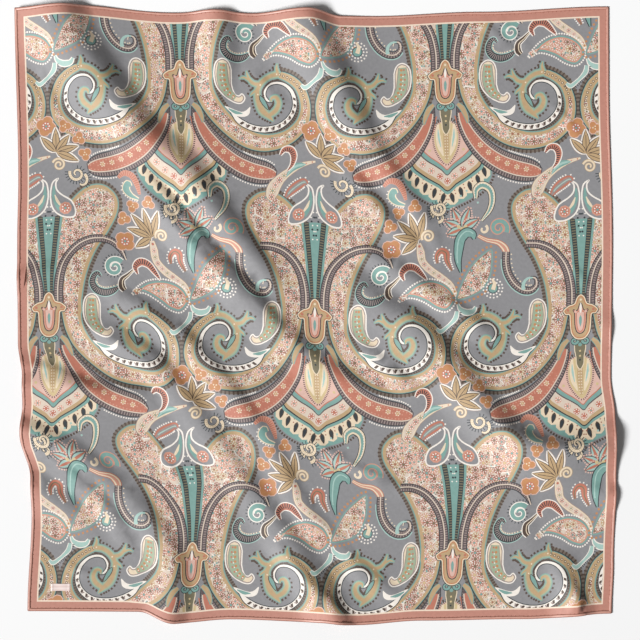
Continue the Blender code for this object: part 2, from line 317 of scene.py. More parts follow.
def add(nodes, kind, links=(), stops=(), **settings):
    """A node of that kind with its settings, its links (input, output socket) and a ramp's stops."""
    node = nodes.new(kind)
    for name, value in settings.items():
        if name.startswith("in_"):
            socket = name[3:].replace("_", " ")
            node.inputs[int(socket) if socket.isdigit() else socket].default_value = value
        else:
            setattr(node, name, value)
    for name, socket in links:
        node.id_data.links.new(node.inputs[name], socket)
    if stops:
        ramp = node.color_ramp.elements
        while len(ramp) < len(stops):
            ramp.new(1.0)
        for stop, (position, code) in zip(ramp, stops):
            stop.position = position
            stop.color = linear(code)
    return node


def blank(name):
    material = bpy.data.materials.new(name)
    material.use_nodes = True
    nodes = material.node_tree.nodes
    nodes.clear()
    return material, nodes


def uneven_dye(nodes, place, grain, low, high, links=(), **settings):
    """The thread's unevenness, and a colour that is low to high times as bright by it."""
    slub = add(nodes, "ShaderNodeTexNoise", [("Vector", place)], in_Scale=grain, **settings).outputs["Fac"]
    tone = add(nodes, "ShaderNodeMapRange", [("Value", slub)], in_To_Min=low, in_To_Max=high)
    links = [(7, tone.outputs["Result"]), *links]
    shade = add(nodes, "ShaderNodeMix", links, data_type="RGBA", blend_type="MULTIPLY", in_Factor=1.0)
    return slub, shade


# The strewn flowers, in metres of the cut: one stands in each cell
FLOWER_CELL = 11.0 * MM
SMALLEST_RADIUS = 4.2 * MM
LARGEST_RADIUS = 6.4 * MM
LEAFLET_CELL = 3.9 * MM
GROUP_CELL = 19.0 * MM
FLOWER_BEADS = 7.0


def small_flowers(nodes, place):
    """Colours of a ground strewn with small round flowers: a disc, seven beads and an eye, and leaflets.

    The flowers are 8 to 13 mm across, and thin pale outlines wind around groups of them.
    """
    cell, leaflet, group = [
        add(
            nodes,
            "ShaderNodeTexVoronoi",
            [("Vector", place)],
            voronoi_dimensions="2D",
            feature=feature,
            in_Scale=1.0 / size,
            in_Randomness=scatter,
        )
        for size, scatter, feature in (
            (FLOWER_CELL, 0.55, "F1"),
            (LEAFLET_CELL, 0.9, "F1"),
            (GROUP_CELL, 0.9, "DISTANCE_TO_EDGE"),
        )
    ]
    chance, leaf_chance = [
        add(nodes, "ShaderNodeSeparateColor", [("Color", kind.outputs["Color"])]).outputs
        for kind in (cell, leaflet)
    ]
    radius = add(
        nodes,
        "ShaderNodeMapRange",
        [("Value", chance["Red"])],
        in_To_Min=SMALLEST_RADIUS,
        in_To_Max=LARGEST_RADIUS,
    )
    links = [(0, place), (1, cell.outputs["Position"])]
    off = add(nodes, "ShaderNodeVectorMath", links, operation="SUBTRACT").outputs["Vector"]
    away = add(nodes, "ShaderNodeVectorMath", [(0, off)], operation="LENGTH").outputs["Value"]
    sides = add(nodes, "ShaderNodeSeparateXYZ", [("Vector", off)]).outputs

    # How far out in its flower a place is, as a share of the radius, and whether it is on a bead's line
    links = [(0, away), (1, radius.outputs["Result"])]
    share = add(nodes, "ShaderNodeMath", links, operation="DIVIDE").outputs[0]
    angle = add(nodes, "ShaderNodeMath", [(0, sides["Y"]), (1, sides["X"])], operation="ARCTAN2").outputs[0]
    wave = add(nodes, "ShaderNodeMath", [(0, angle)], operation="MULTIPLY", in_1=FLOWER_BEADS).outputs[0]
    on_line = add(nodes, "ShaderNodeMath", [(0, wave)], operation="COSINE").outputs[0]
    ring = add(nodes, "ShaderNodeMath", [(0, share)], operation="COMPARE", in_1=0.64, in_2=0.22).outputs[0]
    bead = add(nodes, "ShaderNodeMath", [(0, on_line), (1, ring)], operation="MULTIPLY", use_clamp=True)
    disc, eye, leaf_here, outline = [
        add(nodes, "ShaderNodeMath", [(0, measure)], operation="LESS_THAN", in_1=limit)
        for measure, limit in (
            (share, 1.0),
            (share, 0.3),
            (leaflet.outputs["Distance"], 0.37),
            (group.outputs["Distance"], 0.035),
        )
    ]

    # Each zone over the one before it, in one ink or by chance in one of several
    under = None
    for zone, draw, *inks in (
        (leaf_here, leaf_chance["Red"], "blush", "taupe", "petal", "teal", "olive", "salmon"),
        (outline, None, "white"),
        (disc, chance["Green"], "rose", "blush", "rose", "ochre", "salmon"),
        (bead, None, "white"),
        (eye, chance["Green"], "teal", "gold", "olive", "rose", "teal"),
    ):
        links = [("Factor", zone.outputs[0])]
        if draw is not None:
            stops = [(number / len(inks), INKS[ink]) for number, ink in enumerate(inks)]
            ramp = add(nodes, "ShaderNodeValToRGB", [("Fac", draw)], stops)
            ramp.color_ramp.interpolation = "CONSTANT"
            links.append((7, ramp.outputs["Color"]))
        if under is not None:
            links.append((6, under))
        colours = {"in_6": linear(INKS["petal"]), "in_7": linear(INKS[inks[0]])}
        mixed = add(nodes, "ShaderNodeMix", links, data_type="RGBA", **colours)
        under = mixed.outputs[2]
    return under


# The twill's lines are 0.3 mm apart and the satin's warp threads 0.15 mm, which is too fine to show.
# Faint waves stand for them, 10.7 mm apart on the twill and 5.7 mm apart on the satin.
TWILL_WAVE = 125 / 3
WARP_WAVE = 500 / 9
SILK_IOR = 1.54
REVERSE_GROUND = "E4DDD4"


def silk_twill(name, fade=0.0):
    """Printed silk twill: filament silk, so smooth and softly glossy, and the dyes lie in the thread.

    fade is how much paler the print is, as on the reverse, where less of the dye has struck through.
    """
    material, nodes = blank(name)
    place = add(nodes, "ShaderNodeUVMap", uv_map="cut").outputs["UV"]
    ink = add(nodes, "ShaderNodeVertexColor", layer_name="ink").outputs["Color"]
    strewn = add(nodes, "ShaderNodeAttribute", attribute_name="strewn").outputs["Fac"]
    links = [("Factor", strewn), (6, ink), (7, small_flowers(nodes, place))]
    colour = add(nodes, "ShaderNodeMix", links, data_type="RGBA").outputs[2]
    if fade:
        ground = linear(REVERSE_GROUND)
        paled = add(nodes, "ShaderNodeMix", [(6, colour)], data_type="RGBA", in_Factor=fade, in_7=ground)
        colour = paled.outputs[2]
    twill = add(
        nodes,
        "ShaderNodeTexWave",
        [("Vector", place)],
        wave_type="BANDS",
        bands_direction="DIAGONAL",
        in_Scale=TWILL_WAVE,
        in_Distortion=0.6,
    ).outputs["Fac"]
    _, shade = uneven_dye(nodes, place, 220.0, 0.86, 1.12, [(6, colour)], in_Detail=3.0)
    bump = add(nodes, "ShaderNodeBump", [("Height", twill)], in_Strength=0.12, in_Distance=0.0002)
    surface = add(
        nodes,
        "ShaderNodeBsdfPrincipled",
        [("Base Color", shade.outputs[2]), ("Normal", bump.outputs["Normal"])],
        in_Roughness=0.6,
        in_IOR=SILK_IOR,
        in_Sheen_Weight=0.12,
        in_Sheen_Roughness=0.35,
    )
    add(nodes, "ShaderNodeOutputMaterial", [("Surface", surface.outputs["BSDF"])])
    return material


def silk_thread(name, code):
    """Dyed silk thread: its slight unevenness is in the tone."""
    material, nodes = blank(name)
    place = add(nodes, "ShaderNodeTexCoord").outputs["Object"]
    _, shade = uneven_dye(nodes, place, 300.0, 0.9, 1.1)
    shade.inputs[6].default_value = linear(code)
    surface = add(nodes, "ShaderNodeBsdfPrincipled", [("Base Color", shade.outputs[2])], in_Roughness=0.5)
    add(nodes, "ShaderNodeOutputMaterial", [("Surface", surface.outputs["BSDF"])])
    return material


# Colours around a rolled hem, from its underside over the outer side and the crown to the inner edge:
# painted shade underneath, on the outer side and in the crease, and a painted highlight on the crown
HEM_PAINTED_LIGHT = (
    (0.0, "85564B"),
    (0.13, "8E5E52"),
    (0.19, "C88F7E"),
    (0.27, "D9A797"),
    (0.36, "C48D7D"),
    (0.44, "9C6657"),
    (0.6, "8A5649"),
    (1.0, "85564B"),
)


def rolled_silk():
    """Terracotta silk twill rolled over, with a painted highlight on the crown and painted shade on its
    outer side and in the stitched crease.
    """
    material, nodes = blank("rolled_silk_twill")
    roll = add(nodes, "ShaderNodeUVMap", uv_map="roll")
    sides = add(nodes, "ShaderNodeSeparateXYZ", [("Vector", roll.outputs["UV"])])
    # Painted highlight on the crown and painted shade on the outer side, underneath and in the crease, set
    # by the place around the roll
    painted_roll_light = add(nodes, "ShaderNodeValToRGB", [("Fac", sides.outputs["Y"])], HEM_PAINTED_LIGHT)
    place = add(nodes, "ShaderNodeTexCoord").outputs["Object"]
    slub, shade = uneven_dye(nodes, place, 260.0, 0.82, 1.16, [(6, painted_roll_light.outputs["Color"])], in_Detail=3.0)
    bump = add(nodes, "ShaderNodeBump", [("Height", slub)], in_Strength=0.3, in_Distance=0.0003)
    surface = add(
        nodes,
        "ShaderNodeBsdfPrincipled",
        [("Base Color", shade.outputs[2]), ("Normal", bump.outputs["Normal"])],
        in_Roughness=0.4,
        in_IOR=SILK_IOR,
        in_Sheen_Weight=0.12,
        in_Sheen_Roughness=0.35,
    )
    add(nodes, "ShaderNodeOutputMaterial", [("Surface", surface.outputs["BSDF"])])
    return material


def woven_satin():
    """Woven satin ribbon: bright filament warp in fine ribs along the label, so it gleams across them."""
    material, nodes = blank("woven_satin")
    place = add(nodes, "ShaderNodeTexCoord")
    warp = add(
        nodes,
        "ShaderNodeTexWave",
        [("Vector", place.outputs["Object"])],
        wave_type="BANDS",
        bands_direction="Y",
        in_Scale=WARP_WAVE,
        in_Distortion=0.4,
    ).outputs["Fac"]
    colours = {"in_6": linear("E4CDC6"), "in_7": linear("F2E0DA")}
    tone = add(nodes, "ShaderNodeMix", [("Factor", warp)], data_type="RGBA", **colours)
    bump = add(nodes, "ShaderNodeBump", [("Height", warp)], in_Strength=0.2, in_Distance=0.0002)
    surface = add(
        nodes,
        "ShaderNodeBsdfPrincipled",
        [("Base Color", tone.outputs[2]), ("Normal", bump.outputs["Normal"])],
        in_Roughness=0.36,
        in_IOR=SILK_IOR,
        in_Sheen_Weight=0.1,
    )
    add(nodes, "ShaderNodeOutputMaterial", [("Surface", surface.outputs["BSDF"])])
    return material


def pale_floor():
    """A matt painted board, made a little deeper towards the right and the foot by painted shade, where less
    light falls.
    """
    material, nodes = blank("pale_floor")
    place = add(nodes, "ShaderNodeTexCoord")
    sides = add(nodes, "ShaderNodeSeparateXYZ", [("Vector", place.outputs["Object"])]).outputs
    slant = add(nodes, "ShaderNodeMath", [(0, sides["X"]), (1, sides["Y"])], operation="SUBTRACT").outputs[0]
    share = add(nodes, "ShaderNodeMapRange", [("Value", slant)], in_From_Min=-0.9, in_From_Max=0.9)
    colours = {"in_6": linear("FBFBFB"), "in_7": linear("F1F1F1")}
    tone = add(nodes, "ShaderNodeMix", [("Factor", share.outputs["Result"])], data_type="RGBA", **colours)
    surface = add(nodes, "ShaderNodeBsdfPrincipled", [("Base Color", tone.outputs[2])], in_Roughness=0.9)
    add(nodes, "ShaderNodeOutputMaterial", [("Surface", surface.outputs["BSDF"])])
    return material


# ---------------------------------------------------------------- the design paper

# One step of the design paper is about 1.5 mm of cloth, x to the right and y down, from the middle of a
# palmette. A repeat is 266 steps across and 242 down, and the next row starts half a repeat across.
STEP_S, STEP_T = 1.5135, -1.471
REPEAT_X, REPEAT_Y = 266.0, 242.0

Mark = namedtuple("Mark", "ink points faces")
paper = []


def paint(ink, points, faces):
    paper.append(Mark(ink, np.asarray(points, float)[:, :2], faces))


def blob(ink, outline):
    """A closed shape."""
    paint(ink, outline, [list(range(len(outline)))])


def ahead_of(path, closed=False):
    if closed:
        ahead = np.roll(path[:, :2], -1, axis=0) - np.roll(path[:, :2], 1, axis=0)
    else:
        ahead = np.gradient(path[:, :2], axis=0)
    return ahead / np.maximum(np.linalg.norm(ahead, axis=1, keepdims=True), 1e-9)


def square_to(ahead):
    return np.stack([ahead[:, 1], -ahead[:, 0]], axis=1)


def shape(rows):
    """A closed outline through the rows, turned so that its outside is on its left hand."""
    outline = smooth(rows, closed=True)
    x, y = outline[:, 0], outline[:, 1]
    area = (x * np.roll(y, -1) - y * np.roll(x, -1)).sum()
    return outline if area > 0 else outline[::-1]


def grown(outline, by):
    """The closed outline moved out by that much, or in where it is negative."""
    return outline[:, :2] + square_to(ahead_of(outline, closed=True)) * by


def band(ink, path, share=1.0, extra=0.0):
    """A strip along the path, with its half-width times share, plus extra."""
    square = square_to(ahead_of(path))
    half = np.maximum(path[:, 2:3] * share + extra, 0.02)
    left, right = path[:, :2] + square * half, path[:, :2] - square * half
    count = len(path)
    faces = [[i, i + 1, count + i + 1, count + i] for i in range(count - 1)]
    paint(ink, np.vstack([left, right]), faces)


def bands(path, **extras):
    """Strips one over another along the path, each in its ink with the extra half-width given for it."""
    for ink, extra in extras.items():
        band(ink, path, extra=extra)


def blobs(outline, **amounts):
    """The closed outline one over another, each in its ink and grown by the amount given for it."""
    for ink, by in amounts.items():
        blob(ink, grown(outline, by))


def line(ink, path, wide, share=0.0, extra=0.0):
    """A thin line beside the path, that far out as a share of its half-width plus extra."""
    square = square_to(ahead_of(path))
    middle = path[:, :2] + square * (path[:, 2:3] * share + extra)
    band(ink, np.hstack([middle, np.full((len(path), 1), wide / 2)]))


def stations(path, pitch):
    """Places at even steps along a path, and the direction there."""
    gaps = np.linalg.norm(np.diff(path[:, :2], axis=0), axis=1)
    reach = np.concatenate([[0.0], np.cumsum(gaps)])
    count = max(int(round(reach[-1] / pitch)), 1)
    at = (np.arange(count) + 0.5) * reach[-1] / count
    ahead = ahead_of(path)
    places = np.stack([np.interp(at, reach, column) for column in path.T], axis=1)
    turned = np.stack([np.interp(at, reach, column) for column in ahead.T], axis=1)
    return places, turned / np.linalg.norm(turned, axis=1, keepdims=True)


def ribs(ink, path, pitch, wide, start, stop, lean=0.0):
    """Short bars across a path, from start to stop, each (share of the half-width, extra)."""
    places, ahead = stations(path, pitch)
    square = square_to(ahead)
    half = places[:, 2:3]
    inner, outer = half * start[0] + start[1], half * stop[0] + stop[1]
    foot = places[:, :2] + square * inner
    head = places[:, :2] + square * outer + ahead * lean
    beside = ahead * wide / 2
    corners = np.stack([foot - beside, foot + beside, head + beside, head - beside], axis=1)
    paint(ink, corners.reshape(-1, 2), [list(range(4 * i, 4 * i + 4)) for i in range(len(places))])


def dots(ink, centres, radius, corners=4):
    centres = np.asarray(centres, float)[:, :2]
    angles = np.arange(corners) * 2 * math.pi / corners + 0.4
    ring = np.stack([np.cos(angles), np.sin(angles)], axis=1)
    sizes = np.broadcast_to(np.asarray(radius, float), (len(centres),))
    points = centres[:, None, :] + ring[None] * sizes[:, None, None]
    faces = [list(range(corners * i, corners * (i + 1))) for i in range(len(centres))]
    paint(ink, points.reshape(-1, 2), faces)


def beads(ink, path, pitch, radius, share=0.0, extra=0.0, corners=4):
    places, ahead = stations(path, pitch)
    dots(ink, places[:, :2] + square_to(ahead) * (places[:, 2:3] * share + extra), radius, corners)


def loop(outline):
    """A closed outline as a path that ends where it starts."""
    closed = np.vstack([outline[:, :2], outline[:1, :2]])
    return np.hstack([closed, np.zeros((len(closed), 1))])


def coil(x, y, radius, end_radius, start, turns, half, end_half, steps=22):
    """A path that winds inwards: radii, start angle in degrees, turns (negative turns the other way)."""
    part = np.linspace(0.0, 1.0, max(int(abs(turns) * steps), 6))
    angle = math.radians(start) + turns * 2 * math.pi * part
    far = mix(radius, end_radius, part)
    width = mix(half, end_half, part)
    return np.stack([x + far * np.cos(angle), y + far * np.sin(angle), width], axis=1)


def leaf(x, y, angle, length, half, bend=0.0, steps=7):
    """A pointed leaf from its base at x, y, as a path with half-widths."""
    part = np.linspace(0.0, 1.0, steps)
    turn = math.radians(angle)
    along = length * part
    aside = bend * length * np.sin(math.pi * part)
    return np.stack(
        [
            x + along * math.cos(turn) - aside * math.sin(turn),
            y + along * math.sin(turn) + aside * math.cos(turn),
            half * np.sin(math.pi * part**0.8) ** 0.8,
        ],
        axis=1,
    )


def leaf_to(x, y, tip_x, tip_y, half):
    """A pointed leaf from its base at x, y to its tip."""
    run_x, run_y = tip_x - x, tip_y - y
    return leaf(x, y, math.degrees(math.atan2(run_y, run_x)), math.hypot(run_x, run_y), half, steps=9)


def ring_places(x, y, radius, count, start=0.0):
    angles = np.radians(start) + np.arange(count) * 2 * math.pi / count
    return np.stack([x + radius * np.cos(angles), y + radius * np.sin(angles)], axis=1)


SHARES = np.array([0.5, 0.32, 0.18])  # of the kinds of small flowers


def daisies(places, size, grounds, seed):
    """Small round flowers: a ground, a ring of beads and an eye."""
    rng = np.random.default_rng(seed)
    shares = SHARES[: len(grounds)]
    kinds = rng.choice(len(grounds), len(places), p=shares / shares.sum())
    turns = rng.uniform(0, 60, len(places))
    for kind, ground in enumerate(grounds):
        own = places[kinds == kind]
        if not len(own):
            continue
        dots(ground, own, size, corners=7)
        petals = np.vstack([ring_places(x, y, size * 0.64, 6, turn) for (x, y), turn in zip(own, turns)])
        dots("white", petals, size * 0.22)
        dots(("teal", "coral", "olive")[kind], own, size * 0.3)


def reflected(marks):
    """Each mark joined with its mirror image."""
    both = []
    for ink, points, faces in marks:
        count = len(points)
        turned = [[count + i for i in face[::-1]] for face in faces]
        both.append(Mark(ink, np.vstack([points, points * (-1, 1)]), faces + turned))
    return both


def spanned(rows):
    """A closed outline from the rows of its right half, which start and end on the middle line."""
    rows = np.array(rows, float)
    return shape(np.vstack([rows, rows[-2:0:-1] * (-1, 1)]))


# ---------------------------------------------------------------- the motifs

LOBE = [
    (10, -90), (22, -110), (38, -124), (55, -126), (68, -115), (69, -99), (60, -79), (47, -57), (38, -34),
    (33.5, -10), (33, 6), (22, 12), (12, 0), (4.5, -25), (5.5, -60),
]
ARM = [
    (22, 0, 10.5), (25, 18, 9.8), (33, 34, 9.8), (46, 49, 10), (62, 60.5, 10), (80, 66.5, 9.3),
    (97, 66, 8.6), (111, 60.5, 7.8), (121.5, 50, 7), (125.3, 37, 6), (124, 24.5, 5.5), (118.5, 12.5, 5),
    (108.5, 4, 4.6), (98, -1, 4),
]


ARM_STEPS = 5


def great_lobe():
    """The great flowered leaf that rises from the palmette, and its arm that winds into a scroll."""
    lobe, arm = shape(LOBE), smooth(ARM, ARM_STEPS)
    blob("bark", grown(lobe, 3.4))
    band("bark", arm, extra=3.4)
    ribs("brown", loop(lobe), 3.4, 1.7, (0, 0.6), (0, 3.9))
    for side in (1, -1):
        ribs("brown", arm, 3.4, 1.7, (side, side * 0.6), (side, side * 3.9))
    for ink, extra in (("teal", 0.0), ("ochre", -1.2)):
        blob(ink, grown(lobe, extra))
        band(ink, arm, extra=extra)
    line("navy", arm, 1.0, share=-1.0)
    blob("millefleur", grown(lobe, -4.4))
    band("millefleur", arm[: 10 * ARM_STEPS], extra=-4.0)
    thin_end = arm[9 * ARM_STEPS :]
    beads("brown", thin_end, 4.4, 1.5, corners=5)
    beads("cream", thin_end, 4.4, 0.9)


def scroll():
    """What winds inside the arm: a white band with leaf marks, and a hooked gold scroll."""
    white = smooth([
        (50, 36, 0.5), (58, 45, 2.5), (70, 51, 2.8), (84, 53.5, 2.8), (98, 51.5, 2.6), (109, 44, 2.3),
        (114.5, 33, 2.0), (113, 20, 1.7), (106, 11, 1.3), (96.5, 7.5, 1.1), (88, 10, 1.0), (84.5, 18, 1.0),
        (87.5, 24.5, 1.0), (92.5, 25.5, 0.8),
    ])
    bands(white, navy=0.9, white=0)
    ribs("brown", white[4:28], 6.4, 2.6, (-0.7, 0), (0.7, 0), lean=1.6)
    ribs("taupe", white[6:26], 6.4, 1.4, (-0.7, 0), (0.5, 0), lean=-1.4)

    gold = [
        smooth([
            (99, -1, 3.8), (90, 0.5, 3.4), (82, 6, 3.4), (77.5, 14, 3.4), (78, 24, 4.0), (82, 34, 4.6),
            (89, 41, 3.0), (93, 46, 0.3),
        ]),
        smooth([(98.5, -1, 2.6), (97, -7, 1.8), (98, -12, 0.3)]),
        smooth([(82, 8, 3.2), (74, 7, 2.8), (69, 2, 2.2), (66.5, -6, 0.3)]),
        smooth([(71, 4, 2.0), (64, 1, 1.4), (59, 3, 0.3)]),
        smooth([(79, 12, 2.4), (72, 17, 1.4), (70, 20, 0.2)]),
        smooth([
            (88, 40, 3.0), (95.5, 35, 3.6), (98.5, 28, 3.2), (96, 22, 2.6), (91.5, 22.5, 1.9),
            (91, 26, 0.8),
        ]),
    ]
    for path in gold[:-1] + [gold[-1][:13]]:
        for side in (1, -1):
            ribs("brown", path, 3.0, 2.0, (side, side * 1.1), (side, side * 3.2))
    for ink, share, extra in (("teal", 1.0, 0.7), ("sage", 1.0, -0.2), ("ochre", 0.62, -0.3)):
        for path in gold:
            band(ink, path, share, extra)
    dots("cream", [(80.5, 8.5), (77.8, 18), (97, -1)], 0.9, corners=6)
    drop = leaf(79.5, 19, 60, 17, 1.9)
    bands(drop, brown=0.8, teal=0)


def funnel():
    """The ladder-edged funnel between the lobes, with a spray in its mouth."""
    band("teal", smooth([(5.2, -18, 1.0), (8.0, -50, 1.2), (12.4, -93, 1.4)]))
    ladder = smooth([(2.4, -17, 1.6), (4.8, -50, 2.2), (8.6, -93, 2.8)], 5)
    band("navy", ladder)
    ribs("olive", ladder, 2.6, 1.2, (-0.75, 0), (0.75, 0))
    band("teal", smooth([(0.3, -14, 0.7), (1.2, -50, 1.5), (2.9, -93, 3.2)]))
    dots("navy", [(1.2, -80), (2.6, -86), (3.4, -94), (1.0, -98)], 1.3)
    dots("white", [(2.2, -76), (0.9, -84), (2.4, -90), (4.0, -98), (1.5, -103)], 0.9)


def drops():
    """The pair of drops over the funnel."""
    drop = shape([
        (9, -131.5), (3, -127.5), (0.9, -116), (2.5, -104), (8, -96), (17, -92), (25.5, -93), (26.5, -100),
        (22, -109), (13, -114.5), (7.5, -120), (6.5, -127),
    ])
    blobs(drop, white=0.6, ground=-0.9)
    band("teal", smooth([(4.6, -124, 0.8), (4.6, -114, 2.0), (8.5, -105, 2.8), (10, -99, 1.0)]))
    band("cream", smooth([(5.4, -115, 0.4), (8.2, -108.5, 1.4), (12.5, -103, 0.6)]))
    dots("salmon", [(16.5, -101.3)], 6.3, 9)
    dots("coral", [(16.5, -101.3)], 4.6, 8)
    dots("white", ring_places(16.5, -101.3, 3.1, 7), 0.95)
    dots("teal", [(16.5, -101.3)], 1.5, 5)


def ribbed(path, side=0.0):
    """A plum stem with ribs and a white middle line."""
    bands(path, navy=0, plum=-0.7)
    ribs("taupe", path, 2.4, 1.1, (0.14, 0.4), (0.8, -0.3))
    ribs("taupe", path, 2.4, 1.1, (-0.8, 0.3), (-0.14, -0.4))
    line("petal", path, 1.2, share=side)


STEM = [
    (9.6, -6, 5.0), (10, -24, 4.9), (14, -42, 4.7), (21, -55, 4.5), (31, -65, 4.4), (43, -70.5, 4.3),
    (55, -71.5, 4.1),
]


def stems():
    """The plum stems that rise beside the palmette."""
    ribbed(smooth(STEM, 5), side=0.15)


def crescent():
    """The coral crescent with a ribbed plum rim and beads round its bulb."""
    path = smooth([
        (13, 30, 2.5), (17, 44, 6.5), (25, 60, 9.3), (37, 75, 11.3), (52, 86.5, 12.4), (68, 93.5, 12.8),
        (82, 97, 11.8), (90.5, 98.7, 8.5), (95, 99.5, 3.5),
    ])
    bulb = path[17:]
    beads("white", bulb[:-3], 2.4, 1.0, share=1.0, extra=1.5)
    beads("white", bulb[:-1], 2.4, 1.0, share=-1.0, extra=-1.5)
    bands(path, navy=0, plum=-0.8)
    ribs("taupe", path, 2.5, 1.1, (0.66, -0.2), (1, -1.2))
    ribs("taupe", path, 2.5, 1.1, (-0.66, 0.2), (-1, 1.2))
    band("petal", path[2:-1], share=0.62, extra=-0.3)
    band("coral", path[2:-1], share=0.62, extra=-1.5)
    for side in (1, -1):
        beads("salmon", path[8:-2], 3.4, 0.9, share=side * 0.62, extra=side * -3.0)
    hearts = np.array([(34, 70), (42, 77.5), (51, 84), (60.5, 89), (70, 93), (79.5, 95.5)])
    dots("salmon", hearts + (4.5, 1.6), 0.9)
    dots("cream", np.vstack([ring_places(x, y, 2.1, 6, 10 * x) for x, y in hearts]), 0.95)
    dots("gold", hearts, 1.2, 5)
    tip = smooth([(12, 28, 1.5), (17, 33, 2.3), (21, 42, 1.6), (22, 48, 0.3)])
    bands(tip, teal=0.7, ochre=0)


def comma():
    """The upright comma inside the arm, and the white leaf at its tail."""
    body = shape([
        (42.5, -15.5), (36, -11), (34, 0), (36, 12), (43, 21), (53, 27), (61, 27.5), (65, 22), (62, 17.5),
        (58.5, 20), (54.5, 18), (51.5, 9), (51.5, -5), (48.5, -13),
    ])
    blobs(body, white=0.4, taupe=-0.8, cream=-1.8)
    core = smooth([(43, -11, 3.0), (42.6, 0, 4.6), (43.8, 10, 4.6), (48, 18, 3.8), (55, 23, 1.8)], 5)
    bands(core, taupe=1.2, sage=0.5)
    beads("orange", core, 4.6, 1.5, share=0.35, corners=6)
    beads("coral", core, 4.6, 1.2, share=-0.45)
    beads("white", core[3:], 4.6, 0.8, share=-0.05)
    tail = shape([(44, 31.5), (54, 34.5), (61, 36), (66, 34), (70, 30.5), (68.5, 38), (62, 41), (53, 39.5)])
    blob("white", tail)
    band("teal", smooth([(48, 34, 0.5), (55, 37, 1.7), (62, 37.6, 0.4)]))


def pendant():
    """The scalloped pendant that hangs from the palmette, drawn whole across its middle line."""
    outer = spanned([
        (0, 134.5), (8, 130.5), (22, 124), (35, 115), (43.5, 103), (44, 91), (38, 78), (22, 60), (0, 44),
    ])
    ribs("brown", loop(outer), 3.0, 1.8, (0, 1.2), (0, 3.6))
    blob("teal", outer)
    fruits = np.array([(37.2, 98), (30.6, 106), (22.4, 112.5), (13.4, 118), (4.6, 123.5)])
    for side in (1, -1):
        dots("cream", fruits * (side, 1), 6.4, 8)
    blob("cream", spanned([(0, 127), (9, 120.5), (20, 114), (30.5, 107), (38.5, 97), (38, 84), (0, 60)]))
    for x, y in fruits:
        for side in (1, -1):
            seed = leaf(side * (x - 1.2), y - 6.2, 90 - side * 14, 10.5, 2.0, steps=6)
            band("brown", seed, extra=0.4)
            band("navy", seed[1:], extra=-0.4)
            dots("rose", [(side * (x - 5.6), y + 0.4), (side * (x - 6.4), y - 3.0)], 0.9)
    edge_rows = [
        ("teal", [(0, 119), (9, 112), (18.4, 106.5), (28, 100), (36.5, 92), (36, 80)]),
        ("navy", [(0, 116), (8.5, 109.5), (17.5, 104), (27, 97.5), (34.5, 90), (35, 78)]),
        ("ochre", [(0, 114.8), (8, 108.4), (17, 103), (26, 96.5), (33.8, 89), (34, 77)]),
        ("petal", [(0, 111), (7, 105), (15.5, 99.5), (24.5, 93.5), (32, 86), (32, 75)]),
        ("plum", [(0, 100), (6, 94.5), (13, 89.5), (20, 85), (27, 77.5), (27, 68)]),
        ("teal", [(0, 99), (5.5, 93.5), (12.5, 88.5), (19.3, 84), (26.3, 76.5), (26.5, 66)]),
        ("coral", [(0, 94.5), (5, 90), (12, 84.5), (17.5, 80.5), (23.5, 74), (24, 64)]),
        ("pink", [(0, 93.4), (4.6, 89), (11.4, 83.7), (17, 79.6), (22.8, 73), (23, 63)]),
    ]
    for ink, rows in edge_rows:
        blob(ink, spanned([*rows, (12, 50), (0, 44)]))
        if ink == "petal":
            flowers = np.array([(7.2, 100.5), (15.8, 94.5), (24.2, 87.5), (0.01, 105.5)])
            daisies(np.vstack([flowers, flowers[:3] * (-1, 1)]), 3.4, grounds=("salmon", "coral"), seed=8)
    almond = spanned([(0, 88), (6.5, 81), (11.2, 70), (11.8, 58), (8, 49), (0, 45)])
    ribs("brown", loop(almond), 1.9, 0.9, (0, 0.4), (0, 2.2))
    blob("gold", almond)
    for side in (1, -1):
        for ink, rows in (
            ("cream", [(8.0, 48, 1.0), (8.3, 58, 2.4), (6.6, 70, 2.6), (3.4, 80, 0.6)]),
            ("pale_teal", [(8.0, 53, 0.3), (7.6, 61, 1.1), (5.6, 71, 0.3)]),
            ("coral", [(9, 40, 0.5), (13, 49, 1.8), (13.6, 58, 0.3)]),
        ):
            band(ink, smooth(np.array(rows) * (side, 1, 1)))
        dots("gold", [(side * 17, 74)], 1.6, 5)
    band("ochre", smooth([(0, 50, 2.0), (0, 66, 3.0), (0, 84, 1.4)]))
    for share in (1.2, -1.2):
        beads("cream", smooth([(0, 52, 1), (0, 84, 1)]), 3.0, 0.8, share=share)


def volutes():
    """The capsule and the pair of curls on which the palmette stands."""
    capsule = spanned([(0, 58), (3.2, 53), (3.6, 46), (5.2, 37), (4.2, 30), (0, 28.5)])
    blobs(capsule, cream=0.9, olive=0)
    dots("teal", [(0, 33.5)], 2.1, 6)
    dots("gold", [(0, 40), (0, 45)], 1.3)
    dots("navy", [(0, 49)], 1.2)
    for side in (1, -1):
        curl = coil(side * 5.6, 29.5, 3.6, 0.8, 90 + side * 90, side * -1.1, 1.3, 0.5)
        bands(curl, navy=0.6, teal=0)


def palmette():
    """The palmette itself, with its heart."""
    outer = spanned([
        (0, -17), (4, -14), (6.4, -8), (12, -6.2), (17.4, -1.5), (15, 3), (11.2, 3.5), (10.6, 12),
        (9.5, 21), (5.5, 27), (0, 28.6),
    ])
    blobs(outer, navy=0.7, cream=0, orange=-1.1, ochre=-2.3)
    beads("coral", loop(grown(outer, -1.9)), 2.6, 0.6)
    heart = spanned([(0, 22), (3.6, 19.5), (5.2, 12), (5.6, 2), (7.2, -1.4), (3.0, -0.6), (0, -8)])
    blobs(heart, navy=0.9, salmon=0, coral=-1.3, pink=-2)
    band("white", leaf(0, 2, -90, 11, 1.3))
    band("teal", leaf(0, 4, 90, 12, 1.5))
    dots("cream", [(0, -11.5)], 1.3, 5)
    for side in (1, -1):
        dots("coral", [(side * 12.6, -1.4)], 1.5, 5)


